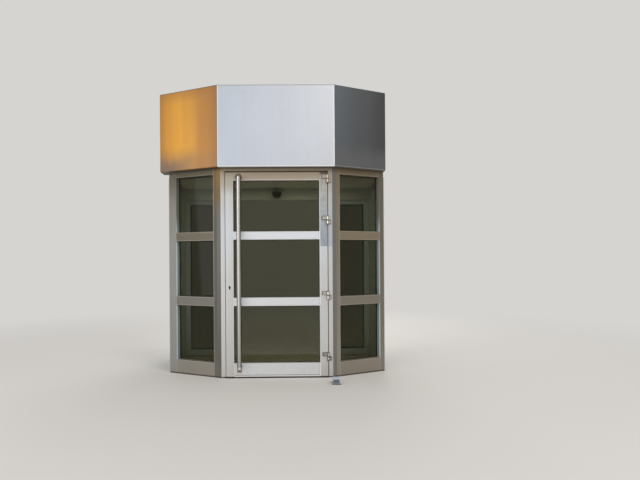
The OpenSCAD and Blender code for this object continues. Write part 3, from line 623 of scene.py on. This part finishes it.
finishes = {
    "leaf stile": drawn_aluminium("leaf stile aluminium", LEAF_TONES, "z",
                                  marks=repainted(0.95, LEAF_LIT_EDGES)),
    "leaf rail": drawn_aluminium("leaf rail aluminium", BAR_TONES, "x", dirt=0.08,
                                 marks=rail_marks),
    "jamb": drawn_aluminium("jamb aluminium", JAMB_TONES, "z", dirt=0.10,
                            marks=repainted(0.5, JAMB_LIT_EDGES)),
    "head": drawn_aluminium("head aluminium", HEAD_TONES, "x"),
    "bead": drawn_aluminium("bead aluminium", BEAD_TONES, "x", dirt=0.05),
    "sill": drawn_aluminium("sill aluminium", SILL_TONES, "x", dirt=0.3),
    "corner": drawn_aluminium("corner post metal", CORNER_TONES, "z"),
    "orange reflection corner": drawn_aluminium("left corner post metal", ORANGE_REFLECTION_CORNER_TONES, "z"),
    "inner metal": drawn_aluminium("inner screen metal", INNER_TONES, "z", metal=0.25,
                                   marks=inner_marks),
    "orange reflection sheet": brushed_sheet("golden brushed sheet", (-0.62, -1.31), ORANGE_REFLECTION_TONES, reflection_glow=0.16,
                          low_tint=(paint(124, 106, 96), 0.85)),
    "silver": brushed_sheet("silver brushed sheet", (-0.62, 0.62), SILVER_TONES, rim=0.8),
    "dark reflection sheet": brushed_sheet("graphite brushed sheet", (0.62, 1.25), DARK_REFLECTION_TONES,
                              low_tint=(paint(98, 98, 99), None), scratch=0.6, rim=0.12),
    "plain sheet": painted("plain grey sheet", (158, 160, 162), (150, 151, 153), 0.45, 0.5,
                           grain=40),
    "top sheet": painted("pale top sheet", (196, 199, 204), (186, 188, 192), 0.45, 0.5, grain=40),
    "angle": painted("primed steel", (140, 140, 140), (120, 118, 115), 0.6),
    "soffit": painted("dark soffit board", (92, 84, 70), (76, 70, 60), 0.6, speck=0.3),
    "ceiling": painted("ceiling paint", (226, 222, 210), (214, 209, 196), 0.8, grain=160),
    "floor": tiled_floor(),
    "wall": painted("wall laminate", (164, 168, 162), (152, 156, 150), 0.42, grain=25),
    "casing": painted("casing satin paint", (202, 206, 198), (192, 195, 188), 0.4, 0.15, grain=120,
                      marks=casing_marks),
    "sensor": painted("sensor black", (6, 6, 7), (10, 10, 11), 0.34, grain=14, bump=0.0001),
    "stop": painted("blue grey enamel", (112, 119, 124), (92, 100, 106), 0.35, grain=80, speck=0.5,
                    marks=stop_marks),
    "glass": pane_glass("tinted glass", 0.70, (0.91, 0.91, 0.76), paint(10, 13, 4),
                        paint(23, 26, 12)),
    "inner glass": pane_glass("inner glass", 0.36, (0.92, 0.91, 0.83), paint(10, 11, 7),
                              paint(20, 20, 14)),
    "bar steel": pull_bar_steel(),
    "hinge": hinge_metal(),
    "rose": worn_metal("dark rose metal", (58, 55, 50), (92, 86, 76), 0.6, 0.4),
    "lock": worn_metal("lock cylinder metal", (13, 11, 9), (9, 8, 7), 0.2, 0.6),
    "screw": worn_metal("screw steel", (150, 146, 138), (96, 88, 76), 0.9, 0.3),
    "plug": worn_metal("lock plug brass", (34, 29, 22), (24, 20, 15), 0.5, 0.55),
    # Thin dark plates for key slots and strike openings: painted shade
    "key slot": rubber("dark key slot"),
    "bristle": rubber("black bristles"),
    "rubber": rubber(),
}
for side, sign in SIDES:
    for part, along, marks in (("upright", "z", side_edges(False)), ("bar", "x", side_edges(True)),
                               ("wall post", "z", wall_reveal(SIDE_SIGHTS[side][1]))):
        kind = f"{side} {part}"
        finishes[kind] = drawn_aluminium(f"{kind} metal", SIDE_TONES[kind], along, -sign * CANT,
                                         marks=marks)

# Solids of the frame by finish
CARRIED = {
    "jamb": "jamb_left jamb_right",
    "head": "frame_head",
    "sill": "door_sill",
    "orange reflection corner": "corner_post_left",
    "corner": "corner_post_right",
    "leaf stile": "leaf_lock_stile leaf_hinge_stile",
    "leaf rail": "leaf_top_rail leaf_upper_bar leaf_lower_bar leaf_bottom_rail",
    "bead": "leaf_beads",
    "glass": "leaf_panes left_panes right_panes",
    "bar steel": "pull_handle",
    "rose": "pull_roses",
    "lock": "lock_cylinder",
    "hinge": "hinge_leaf_halves hinge_jamb_halves",
    "stop": "door_stop",
    "orange reflection sheet": "fascia_left_sheet",
    "silver": "fascia_front_sheet",
    "dark reflection sheet": "fascia_right_sheet",
    "top sheet": "fascia_top_sheet",
    "plain sheet": "fascia_back_sheet",
    "angle": "fascia_angles",
    "soffit": "soffit_board",
    "ceiling": "lobby_ceiling",
    "floor": "lobby_floor",
    "wall": "lobby_wall_left lobby_wall_right",
    "casing": "operator_casing",
    "sensor": "motion_sensor",
    "inner metal": "inner_frame_left inner_frame_right",
    "inner glass": "inner_pane_left inner_pane_right",
    "rubber": "inner_gaskets",
}
for side, _ in SIDES:
    CARRIED[f"{side} upright"] = f"{side}_near_stile"
    CARRIED[f"{side} wall post"] = f"{side}_wall_post"
    CARRIED[f"{side} bar"] = " ".join(
        f"{side}_{bar}" for bar in ("top_rail", "upper_bar", "lower_bar", "bottom_rail", "beads"))
finish_of = {node: finish for finish, nodes in CARRIED.items() for node in nodes.split()}
for name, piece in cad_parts.items():
    for holder in piece.material_slots:
        holder.material = finishes[finish_of[name]]


# Shapes, each as points and faces
def ringed(rings, closed=True):
    """Faces between rings of equal length, as a closed loop or as a tube with flat ends."""
    count = len(rings[0])
    points = [point for ring in rings for point in ring]
    faces = []
    for i in range(len(rings) if closed else len(rings) - 1):
        here, there = i * count, (i + 1) % len(rings) * count
        for j in range(count):
            k = (j + 1) % count
            faces.append((here + j, here + k, there + k, there + j))
    if not closed:
        faces.append(tuple(range(count)))
        faces.append(tuple(reversed(range(len(points) - count, len(points)))))
    return points, faces


def joined(shapes):
    points, faces = [], []
    for more_points, more_faces in shapes:
        faces += [tuple(len(points) + i for i in face) for face in more_faces]
        points += more_points
    return points, faces


def moved(shape, place):
    return [Vector(point) + Vector(place) for point in shape[0]], shape[1]


def placed(shape, place, facing, size=(1, 1, 1)):
    """A shape built about the origin, scaled, then stood on a point facing a direction."""
    points, faces = shape
    turn = Vector(facing).to_track_quat("Z", "Y").to_matrix()
    base = Vector(place)
    return [base + turn @ Vector([c * k for c, k in zip(p, size)]) for p in points], faces


def full_turn(count):
    return [2 * math.pi * i / count for i in range(count)]


def turned(profile, count, flats=()):
    """Solid of revolution about Z; flats names the rings that get a six-sided outline."""
    sixth = math.pi / 6
    rings = []
    for index, (radius, height) in enumerate(profile):
        ring = []
        for turn in full_turn(count):
            reach = radius
            if index in flats:
                reach *= math.cos(sixth) / math.cos((turn + sixth) % (2 * sixth) - sixth)
            ring.append((reach * math.cos(turn), reach * math.sin(turn), height))
        rings.append(ring)
    points, faces = ringed(rings, closed=False)
    return points, faces[:-2]


def capsule(half_width, half_length, count=8):
    """Outline with round ends, long in its second direction."""
    reach = half_length - half_width
    ends = [(half_width * math.cos(math.pi * i / count),
             reach + half_width * math.sin(math.pi * i / count)) for i in range(count + 1)]
    return ends + [(-a, -b) for a, b in ends]


def keyhole(radius, web, drop, count=14, foot_count=8):
    """Outline of a round top with a straight web below it that ends in a half round."""
    half_gap = math.asin(web / radius)
    sweep = 2 * (math.pi - half_gap)
    turns = [half_gap - math.pi / 2 + sweep * i / count for i in range(count + 1)]
    top = [(radius * math.cos(turn), radius * math.sin(turn)) for turn in turns]
    foot = [(-web * math.cos(math.pi * i / foot_count),
             -drop - web * math.sin(math.pi * i / foot_count)) for i in range(foot_count + 1)]
    return top + foot


def plate(outline, thickness, bevel=0.0003):
    """Thin plate with a bevelled front edge, standing up Z from its outline."""
    tight = [[part * (1 - bevel / abs(part)) if abs(part) > bevel else part for part in point]
             for point in outline]
    return ringed([[(a, b, height) for a, b in ring] for ring, height in (
        (outline, 0.0), (outline, thickness - bevel), (tight, thickness))], closed=False)


def tongue(*slices):
    """Latch or bolt that stands out along X, as (reach in front, reach behind, half depth,
    half height) slices."""
    return ringed([[(front, -depth, -height), (behind, depth, -height), (behind, depth, height),
                    (front, -depth, height)] for front, behind, depth, height in slices],
                  closed=False)


def put_in(name, data):
    """A new object in the scene, at the origin."""
    made = bpy.data.objects.new(name, data)
    bpy.context.scene.collection.objects.link(made)
    return made


def solid_of(name, shape, smooth):
    """An object of a shape, with its doubles merged and its faces turned outwards."""
    mesh = bpy.data.meshes.new(name)
    mesh.from_pydata([tuple(point) for point in shape[0]], [], shape[1])
    solid = bmesh.new()
    solid.from_mesh(mesh)
    bmesh.ops.remove_doubles(solid, verts=solid.verts, dist=1e-6)
    bmesh.ops.recalc_face_normals(solid, faces=solid.faces)
    for face in solid.faces:
        face.smooth = smooth
    solid.to_mesh(mesh)
    solid.free()
    return put_in(name, mesh)


def piece_of(name, shape, finish, body, smooth=False):
    """A piece of a shape that rides on a body."""
    piece = solid_of(name, shape, smooth)
    piece.data.materials.append(finishes[finish])
    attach(piece, body)


# Seals
def on_front(sign=1):
    """Place of a point given along the leaf or the inner screen, behind the front and up."""
    def seat(along, behind, up):
        return (sign * along, behind, up)
    return seat


def on_side(sign):
    """Place of a point given along a sidelight, behind its face and up."""
    def seat(along, behind, up):
        return (sign * (HALF_FRAME + along * math.cos(CANT) - behind * math.sin(CANT)),
                along * math.sin(CANT) + behind * math.cos(CANT), up)
    return seat


def lip(glass_y, out, width=0.0045, thick=0.0035, sunk=0.0002, steps=5):
    """Rounded section of a glazing seal that lies on the glass and faces out."""
    turns = [math.pi / 2 * i / steps for i in range(1, steps + 1)]
    curve = [(width * math.sin(turn), glass_y + out * thick * math.cos(turn)) for turn in turns]
    return [(-sunk, glass_y), (-sunk, glass_y + out * thick)] + curve


def pane_loop(along, heights, section, seat):
    """Strip swept round a pane with mitred corners; section is (inward, depth) points."""
    return ringed([[seat(along[i] + (1 - 2 * i) * inward, depth,
                         heights[j] + (1 - 2 * j) * inward) for inward, depth in section]
                   for i, j in ((0, 0), (1, 0), (1, 1), (0, 1))])


def glazing_seals(name, body, seats, sight, panes, glass_faces):
    loops = [pane_loop(sight, pane, lip(*face), seat)
             for seat in seats for pane in panes for face in glass_faces]
    piece_of(name, joined(loops), "rubber", body)


def stop_seal(radius=0.0021, inset=0.006, foot=0.010, sides=10):
    """Bulb seal on the frame's stops, up one side of the leaf, over it and down the other."""
    left, right, top = LEAF_X[0] + inset, LEAF_X[1] - inset, LEAF_Z[1] - inset
    path = ((left, foot, 1, 0), (left, top, 1, -1), (right, top, -1, -1), (right, foot, -1, 0))
    section = [(radius * math.cos(turn), radius * math.sin(turn)) for turn in full_turn(sides)]
    return ringed([[(x + sx * u, STOP_Y - radius + v, z + sz * u) for u, v in section]
                   for x, z, sx, sz in path], closed=False)


glazing_seals("leaf_glazing_seals", "door_leaf", [on_front()], LEAF_SIGHT, LEAF_PANES, LEAF_GLASS)
for side, sign in SIDES:
    glazing_seals(f"{side}_glazing_seals", "bay", [on_side(sign)], SIDE_SIGHTS[side], SIDE_PANES,
                  SIDE_GLASS)
glazing_seals("inner_hall_seals", "bay", [on_front(-1), on_front(1)], INNER_SIGHT, [INNER_PANE],
              INNER_GLASS)
piece_of("frame_bulb_seal", stop_seal(), "rubber", "bay", smooth=True)


# Geometry Nodes patterns
class Pattern(Tree):
    """A tree with named inputs that ends in real geometry with a material."""

    def __init__(self, name, **sizes):
        super().__init__(bpy.data.node_groups.new(name, "GeometryNodeTree"))
        sockets = self.tree.interface
        for way in ("INPUT", "OUTPUT"):
            sockets.new_socket("Geometry", in_out=way, socket_type="NodeSocketGeometry")
        for label, value in sizes.items():
            size = sockets.new_socket(label, in_out="INPUT", socket_type="NodeSocketFloat")
            size.default_value = value
        inlets = self.tree.nodes.new("NodeGroupInput").outputs
        self.inlet = {socket.name: Wire(self, socket) for socket in inlets}
        self.outlet = self.tree.nodes.new("NodeGroupOutput").inputs[0]

    def coat(self, instances, finish):
        """Ends the tree: the instances become real and take a finish."""
        real = self.node("GeometryNodeRealizeInstances", None, instances)
        self.feed(self.outlet, self.node("GeometryNodeSetMaterial", None, real,
                                         Material=finishes[finish]))


def host_of(points, edges=()):
    """An object whose points or edges carry a pattern."""
    mesh = bpy.data.meshes.new("places")
    mesh.from_pydata(points, edges, [])
    return put_in("places", mesh)


def grown(name, host, pattern, body, slot, **sizes):
    """Runs a pattern on a host, keeps the result as a plain mesh and lets it ride."""
    modifier = host.modifiers.new(pattern.tree.name, "NODES")
    modifier.node_group = pattern.tree
    for item in pattern.tree.interface.items_tree:
        if item.in_out == "INPUT" and item.name in sizes:
            modifier[item.identifier] = sizes[item.name]
    bpy.context.view_layer.update()
    solved = host.evaluated_get(bpy.context.evaluated_depsgraph_get())
    mesh = bpy.data.meshes.new_from_object(solved)
    host.modifiers.clear()
    host.data = mesh
    host.name = mesh.name = name
    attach(host, body)


def fastener_pattern(name, template, finish):
    """Stands the template on every point, turned to the point's facing, at the given size."""
    pattern = Pattern(name, Radius=0.004, Height=0.002)
    facing = pattern.node("GeometryNodeInputNamedAttribute", {"data_type": "FLOAT_VECTOR"},
                          Name="facing")
    turn = pattern.node("FunctionNodeAlignRotationToVector", {"axis": "Z"}, Vector=facing)
    radius, height = pattern.inlet["Radius"], pattern.inlet["Height"]
    size = pattern.node("ShaderNodeCombineXYZ", None, radius, radius, height)
    shape = pattern.node("GeometryNodeObjectInfo", None, out="Geometry", Object=template)
    pattern.coat(pattern.node("GeometryNodeInstanceOnPoints", Points=pattern.inlet["Geometry"],
                              Instance=shape, Rotation=turn, Scale=size), finish)
    return pattern


def fasteners(name, pattern, facing, places, body, slot, radius, height):
    """Stands a fastener of the pattern on each place, all facing one way."""
    host = host_of(places)
    for item in host.data.attributes.new("facing", "FLOAT_VECTOR", "POINT").data:
        item.vector = facing
    grown(name, host, pattern, body, slot, Radius=radius, Height=height)


def brush_strip():
    """Row of bristle tufts under the leaf, each leaning a little its own way."""
    pattern = Pattern("bristle tufts", Spacing=0.004, Length=0.0055, Radius=0.0013)
    lean = pattern.node("FunctionNodeRandomValue", {"data_type": "FLOAT_VECTOR"},
                        (-0.16, -0.22, 0.0), (0.16, 0.22, 3.1), Seed=7)
    tuft = pattern.node("GeometryNodeMeshCone", Vertices=5, Radius_Top=0.0004,
                        Radius_Bottom=pattern.inlet["Radius"], Depth=pattern.inlet["Length"])
    line = pattern.node("GeometryNodeMeshToCurve", None, pattern.inlet["Geometry"])
    dense = pattern.node("GeometryNodeCurveToPoints", {"mode": "LENGTH"}, line,
                         Length=pattern.inlet["Spacing"])
    pattern.coat(pattern.node("GeometryNodeInstanceOnPoints", Points=dense, Instance=tuft,
                              Rotation=lean), "bristle")
    return pattern


def rivet_places(inset=0.022, end_gap=0.06, columns=13, rows=5):
    """Rivets along both long edges of the fascia's back sheet and up its ends."""
    low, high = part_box("fascia_back_sheet")
    long_way = (high.x - low.x - 2 * end_gap) / (columns - 1)
    upward = high.z - low.z - 2 * inset
    places = [(low.x + end_gap + i * long_way, high.y, z)
              for i in range(columns) for z in (low.z + inset, high.z - inset)]
    return places + [(x, high.y, low.z + inset + upward * k / (rows - 1))
                     for x in (low.x + inset, high.x - inset) for k in range(rows)]


def soffit_places(behind_edge=0.030):
    """Screws along the soffit's front edge and its two canted edges."""
    under = FASCIA_Z[0] + 0.0003
    places = [(x, -behind_edge, under) for x in (-0.50, -0.25, 0.0, 0.25, 0.50)]
    return places + [(sign * (HALF_FRAME + a * math.cos(CANT)),
                      a * math.sin(CANT) - behind_edge - 0.003, under)
                     for _, sign in SIDES for a in (0.08, 0.30, 0.52)]


LEFT, RIGHT = (-1, 0, 0), (1, 0, 0)
STREET, HALL, UPWARD, DOWNWARD = (0, -1, 0), (0, 1, 0), (0, 0, 1), (0, 0, -1)
screw_head = solid_of("screw_head", turned(
    ((0, -0.1), (1, -0.1), (1, 0.3), (0.9, 0.65), (0.62, 0.98), (0.5, 1.0), (0.46, 0.25),
     (0, 0.2)), 18, flats=(5, 6)), smooth=True)
rivet_head = solid_of("rivet_head", turned(
    ((0, -0.1), (1, -0.1), (0.92, 0.5), (0.6, 0.9), (0.22, 1.0), (0.18, 0.7), (0, 0.7)), 12),
    smooth=True)
screws = fastener_pattern("socket screws", screw_head, "screw")
dark_screws = fastener_pattern("dark screws", screw_head, "rose")
rivets = fastener_pattern("rivets", rivet_head, "plain sheet")

wing_places = [(HINGE_X - 0.037, -0.0004, HINGES[0] + k * HINGE_HALF / 4) for k in (1, 3)]
fasteners("hinge_leaf_screws", dark_screws, STREET, wing_places, "door_leaf", "hinge_metal",
          radius=0.0038, height=0.0060)
fasteners("soffit_screws", dark_screws, DOWNWARD, soffit_places(), "bay", "soffit",
          radius=0.005, height=0.0018)
fasteners("fascia_back_rivets", rivets, HALL, rivet_places(), "bay", "fascia_plain",
          radius=0.006, height=0.0016)
fasteners("sill_screws", screws, UPWARD, [(x, -0.002, 0.008) for x in (-0.42, -0.14, 0.14, 0.42)],
          "bay", "sill_aluminium", radius=0.0038, height=0.0010)
stop_low, stop_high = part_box("door_stop")
stop_x, stop_y = (stop_low.x + stop_high.x) / 2, (stop_low.y + stop_high.y) / 2
bolt_places = [(stop_x + aside, stop_y + along, STOP_FOOT_TOP)
               for aside in (-0.0345, 0.0345) for along in (-0.03, 0.03)]
fasteners("door_stop_bolts", screws, UPWARD, bolt_places, "bay", "stop_metal",
          radius=0.0046, height=0.0030)

foot_line = [(LEAF_X[0] + 0.004, 0.038, 0.0095), (LEAF_X[1] - 0.004, 0.038, 0.0095)]
grown("leaf_foot_brush", host_of(foot_line, [(0, 1)]), brush_strip(), "door_leaf",
      "gasket_rubber")

# Lock parts: faceplate and bolts on the leaf's edge, strike on the jamb, plugs and key slots
leaf_edge = LEAF_X[0]
piece_of("lock_faceplate", placed(plate(capsule(0.010, 0.118), 0.0009),
                                  (leaf_edge + 0.0002, LEAF_MIDDLE, LOCK_Z), LEFT),
         "screw", "door_leaf")
latch = tongue((0.0, 0.0, 0.007, 0.014), (-0.0015, -0.0042, 0.007, 0.014))
bolt = tongue((0.0, 0.0, 0.006, 0.016), (-0.0013, -0.0013, 0.006, 0.016),
              (-0.0018, -0.0018, 0.0055, 0.0155))
piece_of("latch_and_bolt", joined([moved(shape, (leaf_edge + 0.0001, LEAF_MIDDLE, height))
                                   for shape, height in ((latch, LATCH_Z), (bolt, BOLT_Z))]),
         "plug", "door_leaf")
fasteners("faceplate_screws", screws, LEFT,
          [(leaf_edge - 0.0006, LEAF_MIDDLE, LOCK_Z + dz) for dz in (-0.105, 0.105)],
          "door_leaf", "handle_steel", radius=0.0034, height=0.0008)
piece_of("lock_strike", placed(plate(capsule(0.011, 0.085), 0.0008),
                               (STRIKE_X, LEAF_MIDDLE, LOCK_Z + 0.013), RIGHT),
         "screw", "bay")
# Thin dark plates stand in for the strike's openings: painted shade
mouth_half = 0.0075
mouths = [placed(plate([(mouth_half, -half), (mouth_half, half), (-mouth_half, half),
                        (-mouth_half, -half)], 0.0003, 0.0001),
                 (STRIKE_X + 0.0007, LEAF_MIDDLE, height), RIGHT)
          for height, half in ((LATCH_Z, 0.016), (BOLT_Z, 0.018))]
piece_of("strike_mouths", joined(mouths), "key slot", "bay")

shield, shield_faces = plate(keyhole(0.0112, 0.0070, 0.0195), 0.0012)
escutcheons = [([(LOCK_X + a, face + out * height, LOCK_Z + b) for a, b, height in shield],
                shield_faces) for face, out in ((0.0, -1), (LEAF_DEPTH, 1))]
piece_of("lock_escutcheons", joined(escutcheons), "lock", "door_leaf")

plug = turned(((0, -0.2), (1, -0.2), (1, 0.6), (0.93, 1.0), (0, 1.0)), 24)
# Thin dark plates on the plugs stand in for the key slots: painted shade
slot = plate(capsule(0.0007, 0.0038, 4), 0.0003, 0.0001)
PROUD = 0.002
lock_faces = (((LOCK_X, -PROUD, LOCK_Z), STREET), ((LOCK_X, LEAF_DEPTH + PROUD, LOCK_Z), HALL))
piece_of("lock_plugs", joined([placed(plug, place, facing, (0.0062, 0.0062, 0.0006))
                               for place, facing in lock_faces]),
         "plug", "door_leaf")
piece_of("key_slots", joined([placed(slot, Vector(place) + Vector(facing) * 0.0005, facing)
                              for place, facing in lock_faces]),
         "key slot", "door_leaf")


def dome_rim(sides=48):
    """Rim round the motion sensor's dome."""
    low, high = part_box("motion_sensor")
    radius = (high.x - low.x) / 2
    section = ((0.0002, -0.003), (0.0016, -0.0015), (0.0016, 0.004), (0.0, 0.0055),
               (-0.0012, 0.0055), (-0.0012, -0.003))
    points, faces = turned([(radius + out, up) for out, up in section], sides)
    last = (len(section) - 1) * sides
    faces += [(last + i, last + (i + 1) % sides, (i + 1) % sides, i) for i in range(sides)]
    return moved((points, faces), (0, (low.y + high.y) / 2, high.z - 0.009))


piece_of("sensor_rim", dome_rim(), "sensor", "bay", smooth=True)

for template in (screw_head, rivet_head):
    bpy.data.objects.remove(template)

# Studio
FLOOR_COLOUR = paint(224, 220, 214)
BACKGROUND = paint(214, 212, 209)
WORLD_LIGHT = (0.97, 0.98, 1.0)
WORLD_STRENGTH = 0.62
FLOOR_HALF = 60.0
FLOOR_FADE = (3.2, 8.0)


def rays(tree, kind):
    return tree.node("ShaderNodeLightPath", out=f"Is {kind} Ray")


def stage_floor():
    """Pale floor that turns into the plain background at a distance."""
    f = Finish("studio floor")
    x, y, _ = f.axes()
    far = f.spread((x * x + y * y) ** 0.5, *FLOOR_FADE)
    f.blend_in(f.node("ShaderNodeEmission", None, BACKGROUND, 1.0),
               far * rays(f, "Camera").most(rays(f, "Glossy")))
    f.done(Base_Color=FLOOR_COLOUR, Roughness=0.9, Specular_IOR_Level=0.1)
    mesh = bpy.data.meshes.new("studio_floor")
    mesh.from_pydata([(x * FLOOR_HALF, y * FLOOR_HALF, 0)
                      for x, y in ((-1, -1), (1, -1), (1, 1), (-1, 1))], [], [(0, 1, 2, 3)])
    mesh.materials.append(f.material)
    floor = put_in("studio_floor", mesh)


def studio_world():
    """Even light on the object, and a plain background where it is seen or mirrored."""
    world = bpy.data.worlds.new("studio")
    world.use_nodes = True
    world.node_tree.nodes.clear()
    sky = Tree(world.node_tree)
    shown = rays(sky, "Camera").most(rays(sky, "Glossy")).most(rays(sky, "Transmission"))
    light = sky.node("ShaderNodeBackground", None, WORLD_LIGHT, WORLD_STRENGTH)
    backdrop = sky.node("ShaderNodeBackground", None, BACKGROUND, 1.0)
    sky.node("ShaderNodeOutputWorld", None,
             sky.node("ShaderNodeMixShader", None, shown, light, backdrop))
    bpy.context.scene.world = world


def lamp(name, place, target, size, power, colour=(1, 1, 1), mirrored=True):
    """An area lamp turned towards its target, hidden from the camera."""
    data = bpy.data.lights.new(name, "AREA")
    data.shape = "RECTANGLE"
    data.size, data.size_y = size
    data.energy = power
    data.color = colour
    made = put_in(name, data)
    made.location = place
    made.rotation_euler = (Vector(target) - Vector(place)).to_track_quat("-Z", "Y").to_euler()
    made.visible_camera = False
    made.visible_glossy = mirrored


stage_floor()
studio_world()
lamp("key_lamp", (4.2, -6.4, 6.6), (0, 0, 1.2), (4.6, 3.4), 205, (1.0, 0.99, 0.97))
lamp("fill_lamp", (-4.8, -5.2, 2.3), (0, 0, 1.0), (5.6, 4.0), 125, (0.98, 0.99, 1.0))
lamp("rear_lamp", (1.5, 7.0, 4.8), (0, 0.6, 1.4), (4.0, 3.0), 165)
lamp("ceiling_lamp", (0, 0.66, 2.17), (0, 0.66, 0), (1.9, 0.5), 24, mirrored=False)
lamp("bounce_lamp", (0, 0.66, 0.03), (0, 0.66, 2), (1.6, 0.6), 12, mirrored=False)
lamp("screen_lamp", (0, 0.14, 0.95), (0, 1.2, 0.95), (1.5, 1.5), 20, mirrored=False)

# Camera, as solved from the picture: all in pixels, but for its place and its turns
WIDTH, HEIGHT = 640, 480
LENS = 489.0
PRINCIPAL = (284.4, 257.44)
CAMERA_PLACE = (0.0345, -5.257, 1.2921)
YAW, ROLL = math.radians(-0.52), math.radians(-0.37)
camera_data = bpy.data.cameras.new("camera")
camera_data.sensor_width = 36.0
camera_data.lens = LENS / WIDTH * camera_data.sensor_width
camera_data.shift_x = (WIDTH / 2 - PRINCIPAL[0]) / WIDTH
camera_data.shift_y = (PRINCIPAL[1] - HEIGHT / 2) / WIDTH
right = Vector((math.cos(YAW), math.sin(YAW), 0))
forward = Vector((-math.sin(YAW), math.cos(YAW), 0))
up = Vector((0, 0, 1))
camera_right = right * math.cos(ROLL) + up * math.sin(ROLL)
camera_up = up * math.cos(ROLL) - right * math.sin(ROLL)
camera = put_in("camera", camera_data)
camera.matrix_world = (Matrix.Translation(CAMERA_PLACE)
                       @ Matrix((camera_right, camera_up, -forward)).transposed().to_4x4())
bpy.context.scene.camera = camera
bpy.context.scene.view_settings.view_transform = "Standard"
